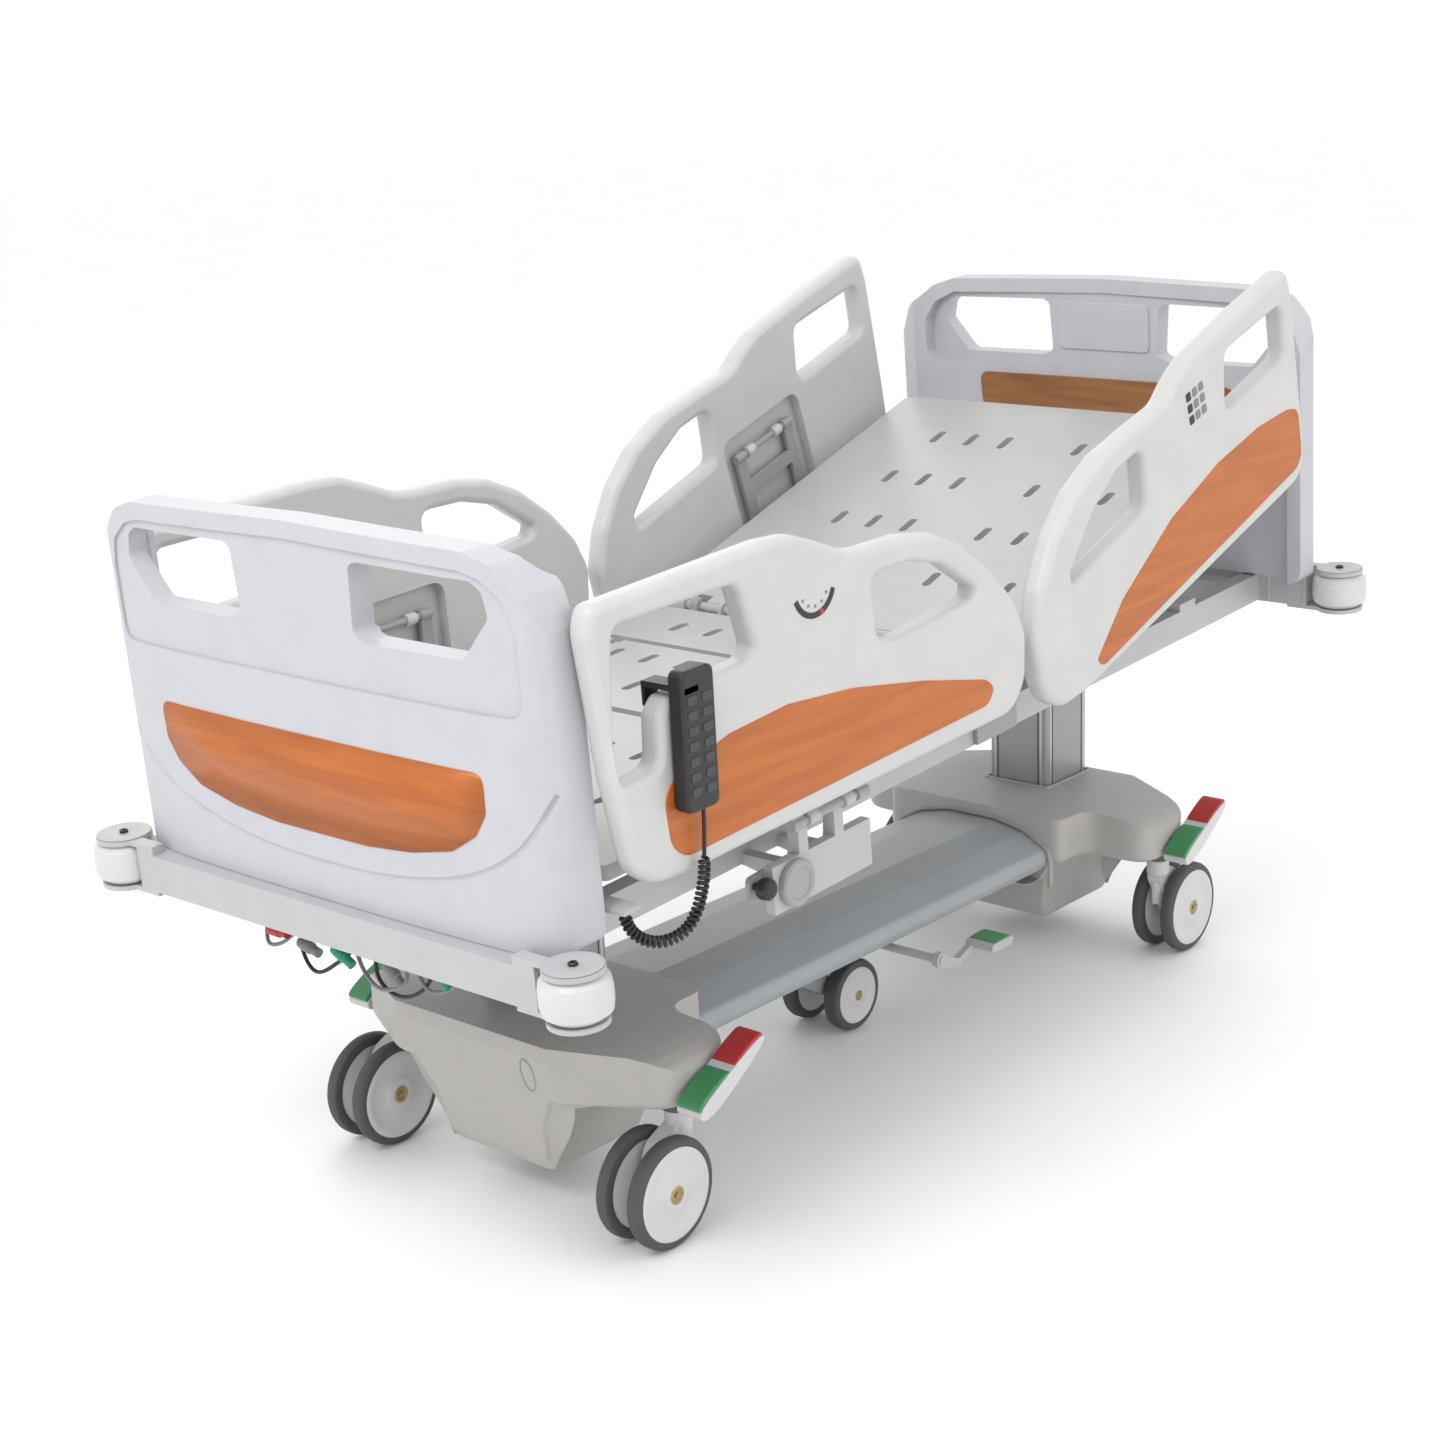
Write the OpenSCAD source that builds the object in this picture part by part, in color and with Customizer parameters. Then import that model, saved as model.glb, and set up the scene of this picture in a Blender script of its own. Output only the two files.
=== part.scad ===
// Adjustable hospital bed: castor base, two lifting columns, tilting bed frame,
// hinged mattress platform, four fold-down side rails, lift-off end boards.
// +X points to the head end, -Y is the patient's left, +Z is up.

/* [Overall] */
// Distance between the bumper roller centres along the bed
bumper_span = 2012; // [1960:4:2100]
// Distance between the bumper roller centres across the bed
bumper_width = 914; // [900:2:940]
// Height of the bed frame reference plane above the floor
bed_z = 625; // [620:1:632]
// Rest tilt of the bed frame, head end up
bed_tilt = 3.5; // [3.2:0.1:3.8]
// Rest angle of the backrest above the bed frame
back_angle = 15; // [12:1:16]

/* [Castors] */
// Castor wheel diameter
castor_d = 165; // [150:1:168]
// Distance between castor stems along the bed
stem_span = 1310; // [1300:2:1330]
// Distance between castor stems across the bed
stem_width = 574; // [566:2:590]
// Distance from stem axis to wheel axle
castor_trail = 56; // [40:1:58]
// Steering wheel diameter
steer_d = 125; // [110:1:126]

/* [Side rails] */
// Thickness of a side rail
rail_t = 40; // [36:1:42]
// Distance from the bed centre line to the inner face of a rail
rail_in = 430; // [429:1:434]
// Length of the rail swing arms between their pins
arm_len = 150; // [146:1:156]

/* [End boards] */
// Width of the head and foot boards
board_w = 852; // [840:2:854]
// Height of the board top above the frame reference plane
board_top = 506; // [480:1:520]
// Thickness of a board
board_t = 46; // [40:1:50]

/* [Mattress platform] */
// Width of the platform sections
deck_w = 810; // [780:2:816]
// Top of the platform above the frame reference plane
deck_w_top = 68; // [66:1:70]
// Thickness of a platform section
deck_t = 22; // [18:1:24]

/* [Hidden] */
$fn = 48;
fit = 0.06;
eps = 0.3;
bed_x = -13;
pin_w = -45;
head_col_x = 700;
foot_col_x = -620;
head_pin_u = (head_col_x - bed_x + pin_w * sin(bed_tilt)) / cos(bed_tilt);
foot_pin_u = (foot_col_x - bed_x + pin_w * sin(bed_tilt)) / cos(bed_tilt);
col_x = 136;
col_y = 127;
col_wall = 6;
castor_r = castor_d / 2;
castor_w = 86;
tyre_w = 27;
stem_x = stem_span / 2;
stem_y = stem_width / 2;
bump_u = bumper_span / 2;
bump_y = bumper_width / 2;
bump_r = 48;
bump_low = -76;
bump_high = -18;
board_u = 997;
board_return = 84;
board_low = -22;
deck_h = deck_w / 2;
back_u = 115;
back_w = 60;
back_len = 800;
seat_u = -110;
knee_u = -400;
leg_end = -922;
deck_gap = 12;
side_y = 300;
side_t = 30;
frame_low = -75;
frame_high = -25;
rail_out = rail_in + rail_t;
rail_mid = rail_in + 7;
foot_pivot = 15;
head_pivot = -40;
arm_gap = 72;
arm_w = 24;
pin_r = 6;
hub_r = 10;
pocket_d = 20;
foot_arm_u = -470;
head_arm_s = 400;
lever_r = 60;
lever_w = back_w - lever_r;
act_y = 236;
cover_out_x = 785;
cover_in_x = 482;
cover_top = 286;
cover_low = 200;
box_low = 56;
wing_y = 318;
cover_wall = 5;
rod_w = -52;
steer_x = 55;
steer_z = steer_d / 2 + 2;
steer_pivot = [-95, 0, 150];
pedal_z = 222;
steer_pedal_at = [57, 0, 167];
pedal_y = 346;

foot_rail_pts = [[-926, 428], [-600, 430], [-540, 424], [-490, 404], [-430, 376], [-390, 370],
    [-300, 366], [-230, 352], [-160, 318], [-90, 262], [-40, 206], [-14, 150], [-20, 74],
    [-58, 34], [-790, 38], [-858, 44], [-892, 72], [-916, 200], [-938, 396]];
foot_rail_open_a = [[-892, 392], [-660, 388], [-634, 296], [-648, 284], [-806, 280], [-826, 260],
    [-830, 196], [-900, 190], [-906, 250]];
foot_rail_open_b = [[-382, 330], [-290, 326], [-216, 304], [-140, 250], [-146, 236], [-330, 226],
    [-374, 240]];
foot_insert_pts = [[-832, 152], [-812, 176], [-700, 200], [-580, 204], [-440, 186], [-280, 150],
    [-128, 108], [-108, 90], [-126, 68], [-800, 64], [-826, 86]];
head_rail_pts = [[-92, 20], [-88, 96], [-50, 160], [10, 218], [80, 256], [170, 276], [280, 274],
    [360, 270], [400, 290], [450, 306], [620, 314], [786, 314], [790, 260], [770, 60],
    [756, -58], [20, -58], [-50, -48], [-84, -16]];
head_rail_open_a = [[278, 232], [262, 136], [34, 126], [34, 146], [120, 204], [200, 232]];
head_rail_open_b = [[556, 266], [752, 262], [742, 174], [532, 170]];
head_insert_pts = [[752, 70], [744, -30], [66, -40], [52, -22], [150, 34], [320, 86], [480, 104],
    [620, 100], [716, 84]];
board_hole = [[120, 462], [346, 458], [356, 416], [306, 358], [132, 364], [112, 386]];
board_panel_pts = [[-322, 214], [322, 214], [320, 150], [262, 100], [110, 76], [-110, 76],
    [-262, 100], [-320, 150]];
board_inner_pts = [[-276, 320], [276, 320], [272, 262], [226, 212], [110, 196], [-110, 196],
    [-226, 212], [-272, 262]];

cord_lead_d = 5.5;
cord_coil_d = 18;
cord_lead_pts = [[-777, -485, 134], [-778, -485, 110], [-780, -485, 90], [-783, -485, 58]];
cord_coil_pts = [[-783, -485, 64], [-785, -484, 40], [-790, -482, 16], [-799, -479, -8],
    [-814, -474, -27], [-834, -466, -36], [-854, -456, -36], [-872, -446, -26],
    [-883, -439, -10], [-888, -437, 8], [-888, -437, 14.5]];

// ---- placement helpers ----

module on_bed() {
    translate([bed_x, 0, bed_z])
        rotate([0, -bed_tilt, 0])
            children();
}

module on_back() {
    on_bed()
        translate([back_u, 0, back_w])
            rotate([0, -back_angle, 0])
                children();
}

module side(s) {
    if (s < 0) children();
    else mirror([0, 1, 0]) children();
}

// a plate lying in the X-Z plane from y = -a outwards to y = -b
module upright(a, b) {
    translate([0, -a, 0])
        rotate([90, 0, 0])
            linear_extrude(b - a)
                children();
}

// a plate lying in the Y-Z plane from x = a to x = b, drawn as (y, z)
module across(a, b) {
    translate([a, 0, 0])
        rotate([90, 0, 90])
            linear_extrude(b - a)
                children();
}

module rrect(x, y, r) {
    square([x - 2 * r, y], center = true);
    square([x, y - 2 * r], center = true);
    for (i = [-1, 1], j = [-1, 1])
        translate([i * (x / 2 - r), j * (y / 2 - r)]) circle(r);
}

module soft(r) {
    offset(r = r, $fn = 32) offset(delta = -r) children();
}

module ybar(r, a, b) {
    rotate([90, 0, 0]) translate([0, 0, a]) cylinder(r = r, h = b - a);
}

module xbar(r, a, b) {
    rotate([0, 90, 0]) translate([0, 0, a]) cylinder(r = r, h = b - a);
}

// ---- base ----

module cover_plan(d) {
    offset(delta = -d) soft(30) union() {
        translate([cover_in_x, -190]) square([120, 380]);
        translate([566, -wing_y]) square([178, 2 * wing_y]);
        translate([cover_in_x + 60, -160]) square([cover_out_x - cover_in_x - 60, 320]);
    }
}

module cover_side(d, floor_z) {
    across(cover_in_x - 1, cover_out_x + 1) polygon([
        [-wing_y - 2, floor_z], [-wing_y - 2, cover_top - 26 - d], [-wing_y + 34, cover_top - 4 - d],
        [-150, cover_top - d], [150, cover_top - d], [wing_y - 34, cover_top - 4 - d],
        [wing_y + 2, cover_top - 26 - d], [wing_y + 2, floor_z]]);
}

// outline of the skirt and centre box seen from the side (x, z) and from the end (y, z)
function box_side(inner, toe) = [[cover_in_x, cover_low + 40], [cover_in_x, 142], [inner, 142],
    [inner, box_low + 28], [inner + 14, box_low], [toe, box_low], [toe + 12, box_low + 26],
    [cover_out_x - 7, cover_low + 40]];
function box_half(half, top) = [[-top, cover_low + 40], [-top, cover_low], [-half - 12, 142],
    [-half, box_low]];
function mirror_y(a) = [for (i = [len(a) - 1:-1:0]) [-a[i][0], a[i][1]]];

module cover_box(d, inner, toe, half, top) {
    difference() {
        intersection() {
            upright(-200, 200) offset(delta = -d) polygon(box_side(inner, toe));
            across(cover_in_x - 5, cover_out_x + 5) offset(delta = -d)
                polygon(concat(box_half(half, top), mirror_y(box_half(half, top))));
        }
        for (s = [-1, 1]) translate([stem_x, s * stem_y, 0]) cylinder(r = 149 + d, h = 187 + d);
    }
}

module base_cover(column, inner, toe, half, top) {
    difference() {
        union() {
            difference() {
                intersection() {
                    translate([0, 0, cover_low]) linear_extrude(cover_top) cover_plan(0);
                    cover_side(0, cover_low - 1);
                }
                intersection() {
                    translate([0, 0, cover_low - 1]) linear_extrude(cover_top)
                        cover_plan(cover_wall);
                    cover_side(cover_wall, cover_low - 2);
                }
            }
            translate([0, 0, cover_low - 2]) linear_extrude(5) cover_plan(2);
            intersection() {
                cover_box(0, inner, toe, half, top);
                translate([0, -400, 0]) cube([900, 800, cover_low + 3]);
            }
        }
        cover_box(cover_wall, inner, toe, half, top);
        translate([inner + 18, -half + 6, box_low - 1]) cube([toe - inner - 22, 2 * half - 12, 9]);
        translate([cover_in_x - 4, -47, cover_low - 10]) cube([88, 94, 52]);
        translate([column, 0, 150])
            linear_extrude(200) square([col_x + 5, col_y + 5], center = true);
        translate([cover_in_x - 1, -168, 150]) cube([62, 336, 112]);
        for (s = [-1, 1]) {
            translate([stem_x - 10, s * 320 - 20, 190]) cube([20, 40, 42]);
            translate([stem_x, s * stem_y, 185]) cylinder(r = 26, h = 25);
        }
    }
}

module base_cover_head() {
    color([0.78, 0.76, 0.74]) base_cover(head_col_x, 554, 770, 104, 150);
}

module base_cover_foot() {
    color([0.78, 0.76, 0.74]) mirror([1, 0, 0]) base_cover(-foot_col_x, 530, 728, 104, 150);
}

beam_y = 164;
beam_low = 184;
beam_top = 262;

module beam_profile(d) {
    soft(14) polygon([[-beam_y + d + 14, beam_low + d], [-beam_y + d, beam_low + 20],
        [-beam_y + d + 4, beam_low + 40], [-110, beam_top - 12 - d], [-50, beam_top - d],
        [50, beam_top - d], [110, beam_top - 12 - d], [beam_y - d - 4, beam_low + 40],
        [beam_y - d, beam_low + 20], [beam_y - d - 14, beam_low + d]]);
}

module base_beam_cover() {
    color([0.72, 0.74, 0.75])
        across(-cover_in_x - 12, cover_in_x + 12) difference() {
            beam_profile(0);
            beam_profile(4);
            translate([-112, beam_low - 1]) square([224, 8]);
        }
}

module base_half(column) {
    // cross member, stem housings, column collar and column mounting pan
    translate([stem_x - 26, -stem_y, 206]) cube([52, stem_width, 44]);
    for (s = [-1, 1]) translate([stem_x, s * stem_y, 186]) cylinder(r = 24, h = 70);
    translate([column, 0, 206]) linear_extrude(44) rrect(157, 164, 6);
    translate([column, 0, 58]) linear_extrude(8) rrect(112, 106, 10);
    translate([column - 10, -82, 58]) cube([20, 164, 8]);
    for (s = [-1, 1]) translate([column - 10, s * 76 - 6, 58]) cube([20, 12, 149]);
}

module base_half_cuts(column) {
    for (s = [-1, 1]) {
        translate([stem_x, s * stem_y, 185]) cylinder(r = 11 + fit, h = 50);
        translate([stem_x, s * (stem_y + 20), pedal_z]) ybar(7 + fit, -20, 20);
    }
    translate([column, 0, 150]) linear_extrude(200) square([col_x + 5, col_y + 5], center = true);
}

module base_frame() {
    color([0.45, 0.46, 0.48]) difference() {
        union() {
            translate([-560, -40, 196]) cube([1190, 80, 46]);
            base_half(head_col_x);
            mirror([1, 0, 0]) base_half(-foot_col_x);
            for (s = [-1, 1]) translate([steer_pivot[0] - 16, s * 34 - 6, 130]) cube([32, 12, 66.5]);
            translate([steer_pedal_at[0] - 16, -60, 150]) cube([32, 12, 62]);
            translate([steer_pedal_at[0] - 16, -60, 200]) cube([32, 21, 12]);
        }
        base_half_cuts(head_col_x);
        mirror([1, 0, 0]) base_half_cuts(-foot_col_x);
        translate(steer_pivot) ybar(8 + fit, -60, 60);
        translate(steer_pedal_at) ybar(7 + fit, 40, 70);
    }
}

// ---- lifting columns ----

module tube_z(x, y, wall, z0, z1) {
    translate([0, 0, z0]) linear_extrude(z1 - z0) difference() {
        rrect(x, y, 9);
        rrect(x - 2 * wall, y - 2 * wall, 4);
    }
}

module column_lower(cx, z1) {
    color([0.62, 0.61, 0.61]) translate([cx, 0, 0]) tube_z(col_x - 28, col_y - 28, 5, 66, z1);
}

module column_middle(cx, z0, z1) {
    color([0.60, 0.59, 0.59]) translate([cx, 0, 0]) tube_z(col_x - 15, col_y - 15, 5, z0, z1);
}

module column_top(cx, z0, z1, slot) {
    pin = bed_z + (cx - bed_x) * tan(bed_tilt) + pin_w / cos(bed_tilt);
    color([0.58, 0.57, 0.57]) translate([cx, 0, 0]) {
        tube_z(col_x, col_y, col_wall, z0, z1);
        translate([0, 0, z1]) linear_extrude(8) rrect(col_x, col_y, 9);
        upright(-22, 22) difference() {
            union() {
                translate([-34, z1 + 7]) square([68, pin - z1 - 7]);
                translate([0, pin]) rrect(68, 36, 17.9);
            }
            if (slot > 0) translate([slot / 2 - 5, pin]) rrect(20 + slot, 23.4, 11.6);
            else translate([0, pin]) circle(10 + fit);
        }
    }
}

module head_column_lower() { column_lower(head_col_x, 360); }
module head_column_middle() { column_middle(head_col_x, 175, 440); }
module head_column_top() { column_top(head_col_x, 270, 572, 0); }
module foot_column_lower() { column_lower(foot_col_x, 320); }
module foot_column_middle() { column_middle(foot_col_x, 175, 398); }
module foot_column_top() { column_top(foot_col_x, 240, 492, 22); }

// ---- castors ----

module castor_fork(i, j) {
    color([0.82, 0.82, 0.83]) translate([i * stem_x, j * stem_y, 0]) difference() {
        union() {
            cylinder(r = 11, h = 234);
            translate([0, 0, 158]) cylinder(r = 20, h = 26);
            intersection() {
                upright(-13, 13) hull() {
                    translate([i * castor_trail, castor_r]) circle(26);
                    translate([i * 4, 152]) circle(18);
                    translate([i * castor_trail * 0.7, 130]) circle(24);
                }
                translate([-100, -100, 40]) cube([200, 200, 136]);
            }
        }
        translate([-20, -20, -1]) cube([40, 40, 101]);
        translate([i * castor_trail, 0, castor_r]) ybar(9 + fit, -20, 20);
    }
}

module wheel(y, out) {
    translate([0, y, 0]) rotate([out < 0 ? 90 : -90, 0, 0]) rotate_extrude($fn = 72) polygon([
        [0, 3], [20, 3], [24, 6], [castor_r - 10, 6], [castor_r - 4, 2], [castor_r, 7],
        [castor_r, tyre_w - 8], [castor_r - 6, tyre_w - 2], [castor_r - 11, tyre_w - 1.5],
        [castor_r - 12, tyre_w - 3], [26, tyre_w], [0, tyre_w]]);
}

module castor_wheels(i, j) {
    color([0.25, 0.25, 0.26])
        translate([i * (stem_x + castor_trail), j * stem_y, castor_r]) {
        wheel(-castor_w / 2 + tyre_w, -1);
        wheel(castor_w / 2 - tyre_w, 1);
        ybar(9, -castor_w / 2 + tyre_w - 4, castor_w / 2 - tyre_w + 4);
    }
}

module castor_fork_foot_left() { castor_fork(-1, -1); }
module castor_fork_foot_right() { castor_fork(-1, 1); }
module castor_fork_head_left() { castor_fork(1, -1); }
module castor_fork_head_right() { castor_fork(1, 1); }
module castor_wheels_foot_left() { castor_wheels(-1, -1); }
module castor_wheels_foot_right() { castor_wheels(-1, 1); }
module castor_wheels_head_left() { castor_wheels(1, -1); }
module castor_wheels_head_right() { castor_wheels(1, 1); }

// ---- pedals ----

module brake_pedal(i, j) {
    color([0.35, 0.62, 0.38]) translate([i * stem_x, 0, pedal_z]) side(j) {
        ybar(7, stem_y + 12, pedal_y + 20);
        rotate([0, -26, 0]) upright(pedal_y - 24, pedal_y + 24) difference() {
            union() {
                translate([38, 4]) rrect(150, 18, 8);
                circle(15);
                translate([-28, 8]) rrect(34, 20, 8);
            }
            circle(6);
        }
    }
}

module brake_pedal_foot_left() { brake_pedal(-1, -1); }
module brake_pedal_foot_right() { brake_pedal(-1, 1); }
module brake_pedal_head_left() { brake_pedal(1, -1); }
module brake_pedal_head_right() { brake_pedal(1, 1); }

module steer_arm() {
    color([0.6, 0.6, 0.62]) difference() {
        union() {
            upright(-27, 27) hull() {
                translate([steer_pivot[0], steer_pivot[2]]) circle(16);
                translate([steer_x, steer_z]) circle(16);
            }
            translate(steer_pivot) ybar(8, -40, 40);
        }
        translate([steer_x, 0, steer_z]) ybar(8 + fit, -40, 40);
    }
}

module steer_wheels() {
    color([0.25, 0.25, 0.26]) translate([steer_x, 0, steer_z]) {
        for (s = [-1, 1]) translate([0, s * 30, 0]) rotate([s < 0 ? 90 : -90, 0, 0])
            rotate_extrude($fn = 72) polygon([[0, 0], [20, 0], [22, 4], [steer_d / 2 - 8, 4],
                [steer_d / 2 - 3, 1], [steer_d / 2, 6], [steer_d / 2, 24],
                [steer_d / 2 - 5, 30], [steer_d / 2 - 10, 30], [22, 33], [0, 33]]);
        ybar(8, -32, 32);
    }
}

module steer_pedal() {
    color([0.4, 0.62, 0.42]) translate(steer_pedal_at) {
        ybar(7, 42, 238);
        upright(224, 236) union() {
            circle(13);
            polygon([[-4, 12], [-10, -8], [38, -26], [52, -26], [96, -8], [96, 4], [48, -12]]);
        }
        upright(222, 276) translate([118, 0]) rrect(62, 15, 7);
    }
}

// ---- bed frame ----

module bed_frame() {
    color([0.76, 0.76, 0.77]) on_bed() difference() {
        union() {
            for (s = [-1, 1]) {
                translate([-bump_u + 32, s * side_y - side_t / 2, frame_low])
                    cube([2 * bump_u - 64, side_t, frame_high - frame_low]);
                translate([-520, s * side_y - side_t / 2, frame_high]) cube([30, side_t, 66]);
                translate([seat_u + 8, s * side_y - side_t / 2, frame_high])
                    cube([60, side_t, deck_w_top - deck_t - frame_high]);
            }
            for (u = [-940, 920])
                translate([u - 18, -side_y, frame_low + 6]) cube([36, 2 * side_y, 38]);
            translate([-358, -side_y - side_t / 2, frame_high]) cube([36, 2 * side_y + side_t, 12]);
            for (p = [head_pin_u, foot_pin_u]) {
                translate([p - 26, -side_y, frame_high + 3]) cube([52, 2 * side_y, 10]);
                for (s = [-1, 1]) translate([p, 0, 0]) {
                    translate([-26, s * side_y - side_t / 2, frame_high]) cube([52, side_t, 13]);
                    upright(s * 32 - 7, s * 32 + 7) union() {
                        translate([-20, pin_w]) square([40, 24]);
                        translate([0, pin_w]) circle(20);
                    }
                }
                translate([p, 0, pin_w]) ybar(10, -39, 39);
            }
            for (s = [-1, 1]) side(s) foot_rail_mount();
            // lever bearings of the knee section
            for (s = [-1, 1]) translate([seat_u - 12, 0, 0]) side(s) upright(268, 284) union() {
                translate([-16, frame_low + 8]) square([32, 116]);
                translate([0, back_w - 12]) circle(14);
            }
            for (s = [-1, 1]) translate([seat_u - 28, s * 284 - 2, frame_low + 8]) cube([32, 6, 40]);
            // cord socket bracket
            translate([-904, -452, foot_pivot + 1]) cube([32, 140, 6]);
            translate([-904, -330, -55]) cube([32, 18, 56 + foot_pivot]);
        }
        translate([seat_u - 12, 0, back_w - 12]) ybar(8 + fit, -300, 300);
    }
}

module mount_plate(c, v) {
    // one bearing plate of a rail mount; v is the pivot height, children the arm to the frame
    for (k = [-1, 1]) across(c + k * 40 - 10, c + k * 40 + 10) difference() {
        union() {
            translate([-rail_mid, v]) circle(hub_r);
            translate([-rail_mid, v - hub_r]) square([20, 2 * hub_r]);
            children();
        }
        translate([-rail_mid, v]) circle(pin_r + fit);
    }
}

module foot_rail_mount() {
    mount_plate(foot_arm_u, foot_pivot) polygon([[-rail_mid + 16, foot_pivot + hub_r],
        [-rail_mid + 32, foot_pivot + hub_r], [-rail_mid + 40, -60], [-side_y, -60],
        [-side_y, -74], [-rail_mid + 34, -92], [-rail_mid + 16, -92]]);
    translate([foot_arm_u - 110, -rail_mid + 16, -110]) cube([220, 16, 70]);
}

module end_beam() {
    low = bump_low - 9;
    difference() {
        union() {
            translate([-bump_u - 18, -bump_y + 60, frame_low - 4])
                cube([50, 2 * bump_y - 120, board_low - frame_low + 3.5]);
            for (s = [-1, 1]) translate([-bump_u, s * bump_y, 0]) {
                for (w = [low, bump_high + 2]) translate([0, 0, w]) {
                    cylinder(r = 41, h = 7);
                    translate([-18, s > 0 ? -76 : 0, 0]) cube([w < -60 ? 46 : 20, 76, 7]);
                }
                translate([-18, s > 0 ? -90 : 52, low]) cube([46, 38, board_low - low - 0.5]);
                translate([-18, s > 0 ? -90 : 52, low]) cube([20, 38, bump_high + 9 - low]);
                translate([0, 0, low]) cylinder(r = 8, h = bump_high + 9 - low);
            }
            for (s = [-1, 1]) translate([-board_u + 15, s * 330, frame_low])
                cylinder(r = 9, h = 105);
        }
        for (s = [-1, 1]) translate([-bump_u, s * bump_y, bump_low - 1]) difference() {
            cylinder(r = bump_r + 3, h = bump_high - bump_low + 2.6);
            translate([0, 0, -1]) cylinder(r = 8, h = 80);
        }
    }
}

module foot_end_beam() { color([0.8, 0.8, 0.81]) on_bed() end_beam(); }
module head_end_beam() { color([0.8, 0.8, 0.81]) on_bed() mirror([1, 0, 0]) end_beam(); }

module bumper(i, j) {
    color([0.84, 0.84, 0.85]) on_bed() translate([i * bump_u, j * bump_y, bump_low])
        rotate_extrude($fn = 72) polygon([[8 + fit, 0], [36, 0], [bump_r - 2, 8], [bump_r, 20],
            [bump_r, bump_high - bump_low - 20], [bump_r - 2, bump_high - bump_low - 8],
            [36, bump_high - bump_low], [8 + fit, bump_high - bump_low]]);
}

module bumper_foot_left() { bumper(-1, -1); }
module bumper_foot_right() { bumper(-1, 1); }
module bumper_head_left() { bumper(1, -1); }
module bumper_head_right() { bumper(1, 1); }

// ---- mattress platform ----

module deck_plate(u0, u1, top, rows) {
    translate([0, 0, top - deck_t]) linear_extrude(deck_t) difference() {
        translate([(u0 + u1) / 2, 0]) rrect(u1 - u0, deck_w, 18);
        for (r = rows, j = [-1, 1], k = [0:2])
            translate([r, j * (80 + 76 * k)]) rrect(46, 16, 7.9);
    }
}

module back_section() {
    color([0.83, 0.83, 0.84]) on_back() difference() {
        union() {
            difference() {
                deck_plate(-8 + deck_gap, back_len, deck_w_top - back_w, [170, 330, 490, 650]);
                for (s = [-1, 1]) translate([0, s * 304 - 16, -20]) cube([25, 32, 40]);
            }
            for (s = [-1, 1]) side(s) {
                upright(328, 346) polygon([[-14, -10], [20, 10 - deck_t], [560, 8 - deck_t],
                    [560, -34], [120, -40], [10, -22]]);
                head_rail_mount();
            }
            for (y = [act_y - 14, act_y + 6]) upright(-y - 8, -y) back_lever();
            rotate([0, back_angle, 0]) translate([0, act_y, -lever_r]) ybar(7, -14, 14);
            ybar(8, -380, 380);
            for (s = [-1, 1]) side(s) upright(328, 346) circle(14);
        }
    }
}

module lever_shape(r) {
    union() {
        circle(14);
        translate([-9, -r]) square([18, r]);
        translate([0, -r]) circle(12);
    }
}

module back_lever() {
    rotate(-back_angle) lever_shape(lever_r);
}

module head_rail_mount() {
    mount_plate(head_arm_s, head_pivot) polygon([[-rail_mid + 14, head_pivot + hub_r],
        [-rail_mid + 32, head_pivot + hub_r], [-rail_mid + 40, 8 - deck_t], [-338, 8 - deck_t],
        [-338, -30], [-rail_mid + 32, -66], [-rail_mid + 14, -66]]);
    translate([head_arm_s - 110, -rail_mid + 14, -84]) cube([220, 16, 60]);
}

module back_carriage() {
    color([0.5, 0.5, 0.52]) on_bed() difference() {
        union() {
            for (s = [-1, 1]) translate([back_u, 0, 0]) side(s) {
                translate([-66, -side_y - side_t / 2 - 8, frame_high + 0.5])
                    cube([110, side_t + 4, 16]);
                translate([-66, -side_y - side_t / 2 - 8, frame_low + 2])
                    cube([110, 7.5, 64]);
                upright(296, 312) union() {
                    translate([-18, frame_high + 10]) square([36, back_w - frame_high - 10]);
                    translate([0, back_w]) circle(16);
                }
            }
            translate([back_u - 66, -304, frame_high + 4]) cube([20, 608, 12]);
        }
        translate([back_u, 0, back_w]) ybar(8 + fit, -400, 400);
    }
}

module seat_section() {
    color([0.83, 0.83, 0.84]) on_bed()
        deck_plate(seat_u + deck_gap / 2, back_u - 46, deck_w_top, [-20]);
}

module thigh_section() {
    color([0.83, 0.83, 0.84]) on_bed() {
        difference() {
            deck_plate(knee_u + deck_gap / 2, seat_u - deck_gap / 2 - 4, deck_w_top, [-180, -300]);
            for (s = [-1, 1]) translate([seat_u - 34, s * 276 - 12, 30]) cube([30, 24, 60]);
        }
        for (s = [-1, 1]) side(s) upright(248, 264) union() {
            polygon([[seat_u - 12, 38], [seat_u - 12, 62 - deck_t], [knee_u + 20, 62 - deck_t + 6],
                [knee_u - 6, 44], [knee_u - 6, 14], [knee_u + 20, 14]]);
            translate([seat_u - 12, back_w - 12]) circle(13);
            translate([knee_u, 28]) circle(14);
        }
        translate([seat_u - 12, 0, back_w - 12]) ybar(8, -286, 286);
        translate([knee_u, 0, 28]) ybar(7, -286, 286);
        translate([seat_u - 12, 0, back_w - 12]) {
            for (y = [-14, 6]) upright(y, y + 8) lever_shape(lever_r);
            translate([0, 0, -lever_r]) ybar(7, -14, 14);
        }
    }
}

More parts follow.
